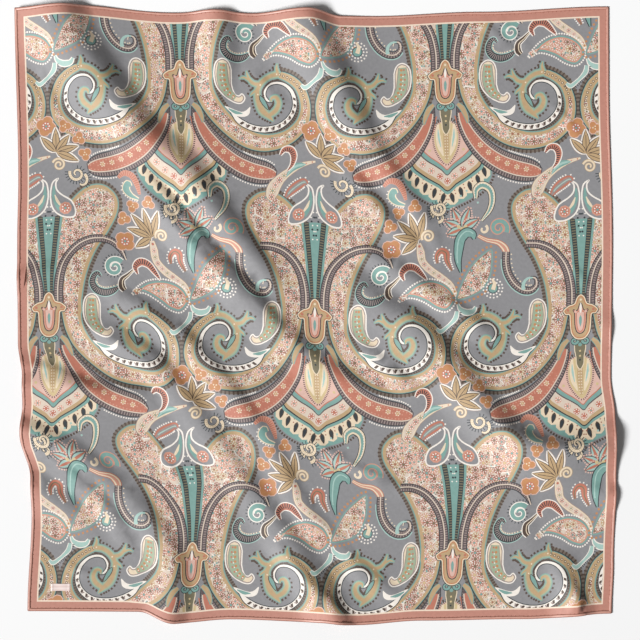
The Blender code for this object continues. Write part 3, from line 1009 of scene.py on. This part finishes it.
def lotus(x, y, tips, wide=4.3):
    """A half-open flower: a petal from x, y to each tip, with a rim."""
    paths = [leaf_to(x, y, *tip, wide) for tip in tips]
    for path in paths:
        bands(path, taupe=1.7, white=1)
    for path in paths:
        bands(path, brown=-0.4, ochre=-1.1)
        line("brown", path[1:-2], 0.6)


def bud(x, y, size, turn=0.0):
    """A three-lobed orange bud."""
    rounds = ring_places(x, y, size * 0.62, 3, turn)
    dots("pink", rounds, size * 0.82, 8)
    dots("orange", rounds, size * 0.66, 8)
    dots("cream", ring_places(x, y, size * 0.3, 3, turn + 60), size * 0.18)


def rose(x, y, size, turn=0.0):
    """A larger orange flower with a beaded eye."""
    rounds = ring_places(x, y, size * 0.55, 4, turn)
    dots("pink", rounds, size * 0.72, 9)
    dots("orange", rounds, size * 0.62, 9)
    dots("coral", [(x, y)], size * 0.55, 8)
    dots("white", ring_places(x, y, size * 0.36, 7), size * 0.11)
    dots("teal", [(x, y)], size * 0.17, 5)


def flowered_leaf(rows, turn):
    """A leaf or stem with a row of flowers in it, from rows of x, y and half-width."""
    path = smooth(rows)
    bands(path, taupe=0.8, cream=0, petal=-1.1)
    places, _ = stations(path, 6.4)
    sizes = np.clip(places[:, 2] - 1.3, 0.8, 3.2)
    for (x, y, _), size, ink in zip(places, sizes, ["coral", "salmon", "ochre"] * len(places)):
        dots(ink, [(x, y)], size, 7)
        if size > 1.6:
            dots("white", ring_places(x, y, size * 0.66, 6, turn), size * 0.24)
            dots("teal", [(x, y)], size * 0.32)


def lashed_curl(x, y, radius, start, turns):
    """A curl with fine lashes round it."""
    curl = coil(x, y, radius, radius * 0.25, start, turns, 1.5, 0.7)
    outside = 1 if turns > 0 else -1
    outer = curl[: int(len(curl) * 0.7)]
    ribs("navy", outer, 1.9, 0.8, (outside, outside * 0.4), (outside, outside * 3.6))
    bands(curl, navy=0.5, cream=0)
    beads("ochre", outer, 2.4, 0.5)


def side_bouquet():
    """The bouquet between two palmettes of a row."""
    # The scroll that ends the right stem
    ribbed(smooth([(55, -71.5, 4.1), (64.5, -68.5, 3.8), (72.5, -61, 3.2), (77.5, -51, 1.0)], 5), side=0.15)
    swirl = coil(66, -43, 9.2, 2.0, -40, -1.35, 2.4, 1.0, steps=20)
    ribs("navy", swirl[:20], 2.0, 0.8, (-1, -0.6), (-1, -3.4))
    bands(swirl, white=1, teal=0)
    plum = smooth([
        (52, -33, 1), (49, -36.5, 1.8), (45, -33, 2.5), (43.7, -26, 3.1), (48, -19.5, 3.6), (56, -17, 3.7),
        (64, -19, 3.0), (71.5, -24, 0.8),
    ])
    beads("cream", plum[8:], 3.4, 0.9, share=1.0, extra=1.6)
    bands(plum, pale_teal=0.8, navy=0)
    ribs("taupe", plum, 1.9, 0.8, (-0.7, 0), (0.7, 0))
    claw = smooth([(85, -42, 0.8), (79, -36, 1.6), (73.5, -31, 2.4), (73, -24, 3.0), (76, -20, 2.2)])
    bands(claw, white=0.9, brown=0)
    line("cream", claw, 0.9, share=0.3)
    hood = smooth([
        (89, -38, 0.6), (86.5, -45, 2.4), (92, -51, 3.4), (100, -50, 3.2), (107, -43, 2.0), (112, -37, 0.4),
    ])
    bands(hood, white=1, coral=0)
    ribs("navy", hood, 2.1, 0.9, (-0.6, 0), (0.9, 0))

    # Buds, roses and the white lotus
    bud(99.7, -112.2, 5.2, 30)
    bud(83.5, -106.4, 5.0, -20)
    bud(74.9, -93.0, 5.4, 10)
    rose(76.5, -70.0, 8.6, 40)
    lotus(103, -78, [(109.5, -106), (94, -106), (82, -98.5), (78, -83.5), (86.5, -64.5)])
    spiral = coil(113, -81.5, 6.6, 1.2, 150, 1.7, 0.9, 0.6)
    bands(spiral, ochre=0.5, cream=0)
    lashed_curl(122.5, -107, 7.0, 120, 1.15)
    lashed_curl(124, -100, 4.6, 100, -1.0)

    # The beaded curl at the head of the bouquet
    head = smooth([(69, -134, 1.2), (75, -139, 2.4), (83, -137, 2.8), (88, -129, 2.4), (91, -119, 1.0)])
    band("salmon", head, extra=0.4)
    ribs("coral", head, 2.2, 1.0, (-1, 0), (1, 0))
    teal_drop = smooth([(90, -114, 0.6), (82, -117, 2.0), (77, -123, 3.2), (79, -129, 2.6), (82, -126, 1.0)])
    beads("white", teal_drop[:12], 2.2, 0.8, share=1.0, extra=1.8)
    bands(teal_drop, cream=1.1, teal=0)

    # Flowered stem and the lying leaf with white beads
    flowered_leaf([
        (103.5, -75, 2.0), (105.5, -66, 3.8), (107.5, -56, 3.6), (115, -47.5, 3.6), (126, -39.5, 3.4),
        (136, -31, 2.8), (142, -19, 1.4),
    ], turn=2)
    curl = smooth([
        (137, -46, 0.8), (132, -56, 2.4), (131, -64, 3.2), (125.5, -66.5, 2.8), (121.5, -61, 2.0),
        (122.5, -54, 1.0),
    ])
    for side in (1, -1):
        beads("white", curl, 2.3, 1.0, share=side, extra=side * 1.2)
    band("coral", curl)
    line("olive", curl, 1.0)
    lying = shape([
        (83.5, -16.5), (90, -26), (101, -34.5), (115, -38), (129, -34), (138.5, -25), (140, -14),
        (132, -5.5), (121, -8), (109, -16), (95, -20.5),
    ])
    beads("white", loop(grown(lying, 0.4)), 2.6, 1.15)
    blobs(lying, teal=-1.6, salmon=-3.2, millefleur=-4.6)

    # The beaded pink lotus and what hangs from it
    for tip in ((137, -110), (128.5, -97), (131, -82), (155, -110), (165, -98)):
        petal = leaf_to(147, -88, *tip, 5.4)
        for side in (1, -1):
            beads("pink", petal[1:], 2.3, 1.05, share=side, extra=side * 0.6)
        bands(petal, plum=-0.7, pale_teal=-1.6)
        band("coral", petal, share=0.35, extra=-0.4)
    dots("gold", [(147, -88), (143.5, -90), (150.5, -90)], 2.0, 6)
    head_leaf = smooth([
        (159, -77, 0.8), (157.5, -82, 3.4), (151.5, -84, 4.4), (145.5, -78, 4.6), (143.5, -68, 4.2),
        (143, -56, 2.8), (145.5, -44, 0.4),
    ], 5)
    bands(head_leaf, navy=1, teal=0)
    line("pale_teal", head_leaf[5:-4], 1.2, share=-0.3)
    flat_leaf = shape([
        (176.5, -67), (166, -61), (154, -48), (145, -30), (141, -16.5), (153, -18), (168, -26),
        (175.5, -40), (177.5, -54),
    ])
    trail = loop(grown(flat_leaf, 3.0))[:36]
    beads("orange", trail, 4.6, 1.5)
    blobs(flat_leaf, teal=0, taupe=-1.3, millefleur=-1.9)
    knot = smooth([(177, -37, 1.0), (179.5, -32, 2.6), (178, -26, 3.0)])
    for radius, count in ((6.4, 13), (9.6, 17)):
        dots("white", ring_places(178, -27.5, radius, count), 1.0, 5)
    for ink, radius in (("navy", 5.2), ("teal", 4.6)):
        dots(ink, [(178, -27.5)], radius, 10)
    band("cream", knot, share=0.7)
    trefoil = smooth([(161, -9, 0.8), (158, -4.5, 2.0), (151, -3.5, 2.6), (145, -7, 1.6), (142.5, -12, 0.5)])
    bands(trefoil, white=1, pale_teal=0)
    tail = smooth([(142, -5, 1.6), (140.5, 2, 2.0), (134, 9, 1.2), (126, 15, 1.8), (121.5, 12, 0.8)])
    ribs("navy", tail, 2.0, 0.7, (1, 0.8), (1, 3.0))
    bands(tail, white=0.7, pale_teal=0)

    # The scroll that joins the hook of the next stem
    join = smooth([(163, -80.5, 0.6), (172, -76, 1.0), (183, -73.5, 1.6), (190, -67, 2.4), (192, -58, 1.4)])
    bands(join, coral=1.3, cream=0.5)
    band("salmon", join, share=0.6)
    swirl = coil(183.5, -88, 9.0, 2.2, 30, -1.2, 2.3, 1.0, steps=20)
    bands(swirl, salmon=1, teal=0)
    small = coil(168.5, -87, 4.4, 1.6, -60, 0.8, 1.1, 0.6)
    band("cream", small, extra=0.3)
    hook = smooth([
        (191, -64, 3.8), (190.8, -52, 4.2), (193.5, -41, 4.3), (200, -31, 4.4), (208.5, -25, 4.2),
        (216.5, -24.5, 3.6), (221.5, -29.5, 2.8), (220.5, -36, 2.0), (215.5, -37, 1.4), (214, -33, 0.7),
    ], 5)
    beads("cream", hook[:30], 5.0, 0.9, share=1.0, extra=1.4)
    line("pale_teal", hook[3:30], 1.2, share=-1.0, extra=-0.5)
    ribbed(hook)
    fan = coil(217, -30, 9.5, 7.0, 150, 0.35, 2.0, 0.8)
    band("pale_teal", fan)

    # The cream comma at the right
    cream = smooth([
        (161, -118, 1.0), (161.5, -127, 2.4), (168, -131.5, 3.0), (175.5, -127, 2.8), (177.5, -117, 2.3),
        (174.5, -106, 1.7), (166.5, -95.5, 0.4),
    ])
    bands(cream, navy=1.2, cream=0.5)
    band("teal", cream, share=0.55)
    beads("white", cream, 2.6, 0.6, share=0.6)
    dots("pale_teal", [(146, -121), (163, -114), (152, -126)], 1.4)


def top_bouquet():
    """The bouquet over the pair of drops."""
    rose(-2.5, -184.5, 8.6, 20)
    bud(16, -184, 5.2, 0)
    bud(30, -171.5, 5.2, 40)
    bud(36, -156, 5.2, 80)
    flowered_leaf([
        (1, -154, 0.8), (-12, -151, 2.2), (-24, -145.5, 3.4), (-34, -138.5, 4.6), (-41, -130, 6.2),
        (-43.5, -122, 5.4), (-42.5, -117.5, 2.2),
    ], turn=4)
    lotus(7, -158, [(7, -183), (-8.5, -174.5), (21, -175.5), (30, -164), (30, -148.5)], wide=4.4)
    spiral = coil(9.5, -145.3, 6.6, 1.2, 200, 1.6, 0.9, 0.6)
    bands(spiral, ochre=0.5, cream=0)
    leafy = leaf(-8, -151, 150, 24, 3.0, bend=0.18)
    band("teal", leafy)
    band("pale_teal", leafy, share=0.4)
    tilted = smooth([
        (-29, -119, 1.4), (-25, -124.5, 3.4), (-18, -130, 4.2), (-11, -133.5, 3.4), (-8, -131, 1.2),
    ], 5)
    for side in (1, -1):
        beads("white", tilted, 2.4, 1.05, share=side, extra=side * 1.5)
    band("coral", tilted, extra=0.4)
    band("taupe", tilted, share=0.6)
    line("pale_teal", tilted[3:-3], 1.1)
    lashed_curl(27.5, -136, 7.4, 200, -1.2)
    lashed_curl(31, -128, 8.8, -60, 0.45)
    hook = smooth([
        (-34, -162, 0.6), (-30, -167, 2.2), (-23.5, -166.5, 3.0), (-20.5, -160, 2.8), (-22.5, -151.5, 1.6),
        (-27, -146, 0.4),
    ])
    bands(hook, white=1, coral=0)
    ribs("navy", hook, 2.1, 0.9, (-0.9, 0), (0.5, 0))
    lashed_curl(-8.5, -109.5 + REPEAT_Y, 8.2, 200, -1.2)


def mirrored(*motifs):
    """Draws the motifs together with their mirror images."""
    start = len(paper)
    for motif in motifs:
        motif()
    paper[start:] = reflected(paper[start:])


def draw_paper():
    """The marks of one repeat, in the order in which they are painted."""
    mirrored(great_lobe, scroll, funnel, drops, comma)
    pendant()
    mirrored(crescent, stems)
    volutes()
    palmette()
    side_bouquet()
    top_bouquet()
    return list(paper)


# ---------------------------------------------------------------- from paper to cloth


BORDER = 14.2  # the plain border, in from the cut's edge
LINE_WIDE = 2.2  # and the cream line inside it
GRID_STEP = 9.0  # between the points that follow the folds, where no line of the print does
SLACK = 0.22  # how far off the straight line a point may be that is left out
LONGEST = 12.0  # of the lines from which a point is left out


def rim_edges(faces):
    """The edges that only one of the faces has."""
    seen = {}
    for face in faces:
        for a, b in zip(face, face[1:] + face[:1]):
            key = (a, b) if a < b else (b, a)
            seen[key] = seen.get(key, 0) + 1
    return [key for key, count in seen.items() if count == 1]


def in_the_cut(marks, reach):
    """The marks of every repeat that shows inside the reach: (ink, points, faces, edges), as painted."""
    shifts = [
        np.array([(column + 0.5 * (row % 2)) * REPEAT_X * STEP_S, row * REPEAT_Y * STEP_T])
        for row in range(-2, 3)
        for column in range(-2, 3)
    ]
    placed = []
    for mark in marks:
        points = mark.points * (STEP_S, STEP_T)
        edges = rim_edges(mark.faces)
        for shift in shifts:
            near = (np.abs(points + shift) < reach + 2.0).all(axis=1)
            if not near.any():
                continue
            shown = [face for face in mark.faces if near[face].any()]
            drawn = [pair for pair in edges if near[pair[0]] or near[pair[1]]]
            placed.append((mark.ink, points + shift, shown, drawn))
    return placed


def frame_marks(reach):
    """The plain border and the cream line inside it, painted over the design."""
    outer, inner, thin = reach + 3.0, CUT / 2 - BORDER, CUT / 2 - BORDER - LINE_WIDE
    made = []
    for ink, out, into in (("border", outer, inner), ("line", inner, thin)):
        rings = [[(-far, -far), (far, -far), (far, far), (-far, far)] for far in (out, into)]
        quads = [[i, (i + 1) % 4, 4 + (i + 1) % 4, 4 + i] for i in range(4)]
        made.append((ink, np.array(rings[0] + rings[1], float), quads, rim_edges(quads)))
    return made


def inked(middles, placed):
    """The ink at each of the places: the last mark painted over it."""
    across = np.argsort(middles[:, 0])
    xs, ys = middles[across, 0], middles[across, 1]
    ink = np.zeros(len(middles), int)
    for name, points, faces, _ in placed:
        number = INK_NAMES.index(name)
        for face in faces:
            x0, y0 = points[face].T
            first, last = np.searchsorted(xs, (x0.min(), x0.max()))
            rows = np.flatnonzero((ys[first:last] > y0.min()) & (ys[first:last] < y0.max())) + first
            if not len(rows):
                continue
            x, y = xs[rows, None], ys[rows, None]
            x1, y1 = np.roll(x0, -1), np.roll(y0, -1)
            side = (x1 - x0) * (y - y0) - (x - x0) * (y1 - y0)
            rising = ((y0 <= y) & (y1 > y) & (side > 0)).sum(axis=1)
            falling = ((y0 > y) & (y1 <= y) & (side < 0)).sum(axis=1)
            ink[rows[rising != falling]] = number
    own = np.zeros(len(middles), int)
    own[across] = ink
    return own


def straightened(place, edges):
    """The lines with fewer points: one is left out where it is hardly off the straight line past it."""
    beside = [[] for _ in place]
    for a, b in edges.tolist():
        beside[a].append(b)
        beside[b].append(a)
    spots = place.tolist()
    for _ in range(3):
        rested = set()
        for point, pair in enumerate(beside):
            if len(pair) != 2 or point in rested:
                continue
            (x0, y0), (x1, y1) = spots[pair[0]], spots[pair[1]]
            run_x, run_y = x1 - x0, y1 - y0
            long = math.hypot(run_x, run_y)
            x, y = spots[point]
            if not 1e-6 < long < LONGEST or abs(run_x * (y - y0) - run_y * (x - x0)) > SLACK * long:
                continue
            first, last = pair
            if last in beside[first]:
                continue
            beside[first][beside[first].index(point)] = last
            beside[last][beside[last].index(point)] = first
            beside[point] = []
            rested.update((first, last))
    kept = [(a, b) for a, pair in enumerate(beside) for b in pair if a < b]
    used, renamed = np.unique(np.array(kept), return_inverse=True)
    return place[used], renamed.reshape(-1, 2)


def triangulated(points, edges):
    """A flat mesh of triangles that has those edges: its points and its triangles."""
    spots = [Vector(point) for point in points]
    made, _, triangles, _, _, _ = delaunay_2d_cdt(spots, edges, [], 0, 1e-4, False)
    return np.array([(v[0], v[1]) for v in made]), np.array(triangles)


def ink_lines(triangles, ink):
    """The edges at which the ink changes."""
    pairs = np.sort(np.vstack([triangles[:, [0, 1]], triangles[:, [1, 2]], triangles[:, [2, 0]]]), axis=1)
    by_pair = np.lexsort((pairs[:, 1], pairs[:, 0]))
    pairs, sides = pairs[by_pair], np.tile(ink, 3)[by_pair]
    return pairs[1:][(pairs[1:] == pairs[:-1]).all(axis=1) & (sides[1:] != sides[:-1])]


def drape_points(base, reach):
    """A grid of points over the cut, left out where points of the print are near."""
    count = int(2 * reach / GRID_STEP)
    steps = np.linspace(-reach, reach, count + 1)
    grid = np.stack(np.meshgrid(steps, steps), axis=-1).reshape(-1, 2)
    size = count * 2 + 4
    taken = np.zeros((size, size), bool)
    where = ((base + reach) / GRID_STEP * 2 + 1).astype(int)
    for shift in ((x, y) for x in (-1, 0, 1) for y in (-1, 0, 1)):
        spot = np.clip(where + shift, 0, size - 1)
        taken[spot[:, 0], spot[:, 1]] = True
    spot = np.clip(((grid + reach) / GRID_STEP * 2 + 1).astype(int), 0, size - 1)
    rim = (np.abs(grid) > reach - 0.01).any(axis=1)
    return grid[rim | ~taken[spot[:, 0], spot[:, 1]]]


def cut_out(placed, reach):
    """One flat mesh in which every face has one ink: points, triangles and an ink for each.

    Only the edges at which the ink changes are kept, with points between them for the drape.
    """
    drawn, edges = [], []
    for _, points, _, own_edges in placed:
        edges += [(len(drawn) + a, len(drawn) + b) for a, b in own_edges]
        drawn += list(points)
    place, triangles = triangulated(drawn, edges)
    ink = inked(place[triangles].mean(axis=1), placed)
    used, renamed = np.unique(ink_lines(triangles, ink), return_inverse=True)
    base, edges = straightened(place[used], renamed.reshape(-1, 2))

    corners = np.array([(-reach, -reach), (reach, -reach), (reach, reach), (-reach, reach)])
    border = [(len(base) + i, len(base) + (i + 1) % 4) for i in range(4)]
    points = np.vstack([base, corners, drape_points(base, reach)])
    new_place, finer = triangulated(points, [*edges.tolist(), *border])
    finer = finer[(np.abs(new_place[finer].mean(axis=1)) < reach).all(axis=1)]
    tree = BVHTree.FromPolygons([(x, y, 0.0) for x, y in place], triangles.tolist())
    middles = new_place[finer].mean(axis=1)
    return new_place, finer, np.array([ink[tree.find_nearest((x, y, 0.0))[2]] for x, y in middles])


def put_in_scene(name, mesh, material):
    """The mesh as an object of the scene, in that material."""
    mesh.materials.append(material)
    piece = bpy.data.objects.new(name, mesh)
    bpy.context.scene.collection.objects.link(piece)
    return piece


def cloth(name, above, printed, material, flip=False):
    """A sheet of the printed cloth, laid down."""
    place, triangles, ink = printed
    kept, triangles = np.unique(triangles, return_inverse=True)
    place, triangles = place[kept], triangles.reshape(-1, 3)
    laid, normal = lay(place[:, 0], place[:, 1], np.full(len(place), above))
    if flip:
        triangles, normal = triangles[:, ::-1], -normal
    mesh = bpy.data.meshes.new(name)
    mesh.from_pydata((laid * MM).tolist(), [], triangles.tolist())
    colours = np.array([linear(code) for code in INKS.values()])
    layer = mesh.color_attributes.new("ink", "FLOAT_COLOR", "CORNER")
    layer.data.foreach_set("color", np.repeat(colours[ink], 3, axis=0).ravel())
    strewn = mesh.attributes.new("strewn", "FLOAT", "FACE")
    strewn.data.foreach_set("value", (ink == INK_NAMES.index("millefleur")).astype(float))
    cut_places = mesh.uv_layers.new(name="cut")
    cut_places.data.foreach_set("uv", (place[triangles.ravel()] * MM).ravel())
    mesh.shade_smooth()
    mesh.normals_split_custom_set_from_vertices(normal.tolist())
    return put_in_scene(name, mesh, material)


def dress(form, name, material):
    """A finished piece from its bmesh, on the one body."""
    bmesh.ops.recalc_face_normals(form, faces=form.faces[:])
    mesh = bpy.data.meshes.new(name)
    form.to_mesh(mesh)
    form.free()
    mesh.shade_smooth()
    mesh.set_sharp_from_angle(angle=math.radians(50))
    piece = put_in_scene(name, mesh, material)
    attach(piece, "root")
    return piece


# ---------------------------------------------------------------- hems, label and stitches

ROLL = 2.3  # thickness of a rolled hem
HEM_STEPS = 320
ROLL_STEPS = 12
STITCH_PITCH = 6.4
THREAD = 0.35
STITCH_REACH = 0.9  # how far a slip stitch reaches to each side of the hem's inner edge
STITCH_SLANT = 1.1
LABEL_THICK = 0.6
LABEL_BASE = FACE + 0.12  # the label's underside
SIDES = ("bottom", "right", "top", "left")


def on_side(side, along, inward):
    """Places of the cut on one of its sides, along it and in from its edge."""
    s, t = along, inward - CUT / 2
    for _ in range(SIDES.index(side)):
        s, t = -t, s
    return s, t


def unevenness(along, side):
    """A hem that is rolled by hand is never quite even: a few waves of unlike lengths, from -1 to 1."""
    turn = 1.7 * SIDES.index(side)
    waves = np.sin(along / 4.9 + turn) + np.sin(along / 11.3 + 2 * turn) + np.sin(along / 2.9 + 3 * turn)
    return waves / 3.0


def rolled_hem(side, material):
    """One edge of the silk rolled over on itself, a soft tube with mitred ends."""
    form = bmesh.new()
    bmesh.ops.create_grid(form, x_segments=HEM_STEPS, y_segments=ROLL_STEPS, size=0.5)
    places = form.loops.layers.uv.new("roll")
    for face in form.faces:
        for corner in face.loops:
            corner[places].uv = (corner.vert.co.x + 0.5, corner.vert.co.y + 0.5)
    points = np.array([vert.co for vert in form.verts])
    share, around = points[:, 0] * 2, (points[:, 1] + 0.5) * 2 * math.pi
    waves = unevenness(share * CUT / 2, side)
    inward = HEM / 2 * (1.0 - np.cos(around)) * (1.0 + 0.08 * waves)
    above = ROLL / 2 * (1.0 + np.sin(around) * (0.94 + 0.06 * waves))
    along = share * (CUT / 2 - inward - SEAM)
    laid, _ = lay(*on_side(side, along, inward), above)
    for vert, point in zip(form.verts, laid):
        vert.co = point * MM
    bmesh.ops.remove_doubles(form, verts=form.verts[:], dist=1e-6)
    bmesh.ops.holes_fill(form, edges=[edge for edge in form.edges if edge.is_boundary], sides=0)
    return dress(form, "rolled_hem_" + side, material)


def stitch(form, start, stop):
    """A short straight thread from start to stop, in millimetres."""
    start, stop = Vector(start), Vector(stop)
    run = stop - start
    place = Matrix.LocRotScale((start + stop) / 2 * MM, run.to_track_quat("Z", "Y"), None)
    bmesh.ops.create_cone(
        form,
        cap_ends=True,
        segments=5,
        radius1=THREAD / 2 * MM,
        radius2=THREAD / 2 * MM,
        depth=run.length * MM,
        matrix=place,
    )


def hem_stitches(side, material):
    """The slip stitches that hold a rolled hem, slanting over its inner edge."""
    count = int((CUT - 4 * HEM) / STITCH_PITCH)
    along = (np.arange(count) + 0.5) * STITCH_PITCH - count * STITCH_PITCH / 2
    along = along + 0.5 * unevenness(along * 3.0, side)
    head_places = on_side(side, along, np.full(count, HEM - STITCH_REACH))
    foot_places = on_side(side, along + STITCH_SLANT, np.full(count, HEM + STITCH_REACH))
    heads, _ = lay(*head_places, np.full(count, ROLL - 0.25))
    feet, _ = lay(*foot_places, np.full(count, FACE + 0.05))
    form = bmesh.new()
    for head, foot in zip(heads, feet):
        stitch(form, head, foot)
    return dress(form, "hem_stitches_" + side, material)


def bare_label(material):
    """The small satin label: a bare strip with its ends turned under, so thicker there."""
    form = bmesh.new()
    bmesh.ops.create_grid(form, x_segments=40, y_segments=12, size=0.5)
    raised = bmesh.ops.extrude_face_region(form, geom=form.faces[:], use_keep_orig=True)
    upper = [item for item in raised["geom"] if isinstance(item, bmesh.types.BMVert)]
    bmesh.ops.translate(form, verts=upper, vec=(0.0, 0.0, 1.0))
    points = np.array([vert.co for vert in form.verts])
    across, up, layer = points[:, 0] * 2, points[:, 1] * 2, points[:, 2]
    ends = LABEL_THICK * (0.55 + 0.45 * ease((np.abs(across) - 0.72) / 0.08))
    rounded = (1.0 - np.abs(across) ** 24) ** 0.5 * (1.0 - 0.4 * np.abs(up) ** 10)
    sway = 0.18 * (1.0 - across**2) * (1.0 + np.sin(3.1 * across + up))
    above = LABEL_BASE + sway + layer * ends * rounded
    s = LABEL_S + across * LABEL_LONG / 2
    t = LABEL_T + up * (LABEL_WIDE / 2 - 0.12 * np.cos(across * 5.0))
    laid, _ = lay(s, t, above)
    for vert, point in zip(form.verts, laid):
        vert.co = point * MM
    return dress(form, "bare_label", material)


def label_stitches(material):
    """Four small stitches through each end of the label."""
    form = bmesh.new()
    for end in (-1, 1):
        s = LABEL_S + end * (LABEL_LONG / 2 - 1.6)
        for share in (-0.72, -0.24, 0.24, 0.72):
            t = LABEL_T + share * LABEL_WIDE / 2
            spots = np.array([(s - 0.25, t - 0.75), (s + 0.25, t + 0.75)])
            laid, _ = lay(spots[:, 0], spots[:, 1], np.full(2, LABEL_BASE + LABEL_THICK))
            stitch(form, *laid)
    return dress(form, "label_stitches", material)


# ---------------------------------------------------------------- the scarf

reach = CUT / 2 - 1.0
placed = in_the_cut(draw_paper(), reach) + frame_marks(reach)
printed = cut_out(placed, reach)
face_piece = cloth("printed_face", FACE, printed, silk_twill("silk_twill_face"))
back_piece = cloth("printed_reverse", BACK, printed, silk_twill("silk_twill_reverse", fade=0.35), flip=True)
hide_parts("panel")
for sheet in (face_piece, back_piece):
    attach(sheet, "root")

hem_silk = rolled_silk()
thread = silk_thread("silk_thread", "A9604F")
edging = []
for side in SIDES:
    hem = rolled_hem(side, hem_silk)
    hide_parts("hem_" + side)
    edging += [hem, hem_stitches(side, thread)]
label = bare_label(woven_satin())
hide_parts("label")
label_thread = label_stitches(silk_thread("label_thread", "CDB0A6"))


# ---------------------------------------------------------------- floor, light and camera


SENSOR = 36.0  # in millimetres
CAMERA_UP = 3.0  # in metres, as is the width of the view on the surface
VIEW_WIDE = 0.9472


def studio():
    form = bmesh.new()
    bmesh.ops.create_grid(form, x_segments=1, y_segments=1, size=6.0)
    mesh = bpy.data.meshes.new("floor")
    form.to_mesh(mesh)
    form.free()
    floor = put_in_scene("floor", mesh, pale_floor())

    sun = bpy.data.lights.new("window", "SUN")
    sun.energy = 4.2
    sun.angle = math.radians(20)
    lamp = bpy.data.objects.new("window", sun)
    azimuth, elevation = math.radians(205), math.radians(42)
    level = math.cos(elevation)
    away = Vector((math.cos(azimuth) * level, math.sin(azimuth) * level, math.sin(elevation)))
    lamp.rotation_euler = away.to_track_quat("Z", "Y").to_euler()
    bpy.context.scene.collection.objects.link(lamp)

    world = bpy.data.worlds.new("room")
    world.use_nodes = True
    background = world.node_tree.nodes["Background"]
    background.inputs["Color"].default_value = (1.0, 1.0, 1.0, 1.0)
    background.inputs["Strength"].default_value = 0.14
    bpy.context.scene.world = world
    bpy.context.scene.view_settings.view_transform = "Standard"

    camera = bpy.data.cameras.new("camera")
    camera.sensor_width = SENSOR
    camera.lens = SENSOR * CAMERA_UP / VIEW_WIDE
    eye = bpy.data.objects.new("camera", camera)
    eye.location = (0.0063, -0.0073, CAMERA_UP)
    bpy.context.scene.collection.objects.link(eye)
    bpy.context.scene.camera = eye


studio()
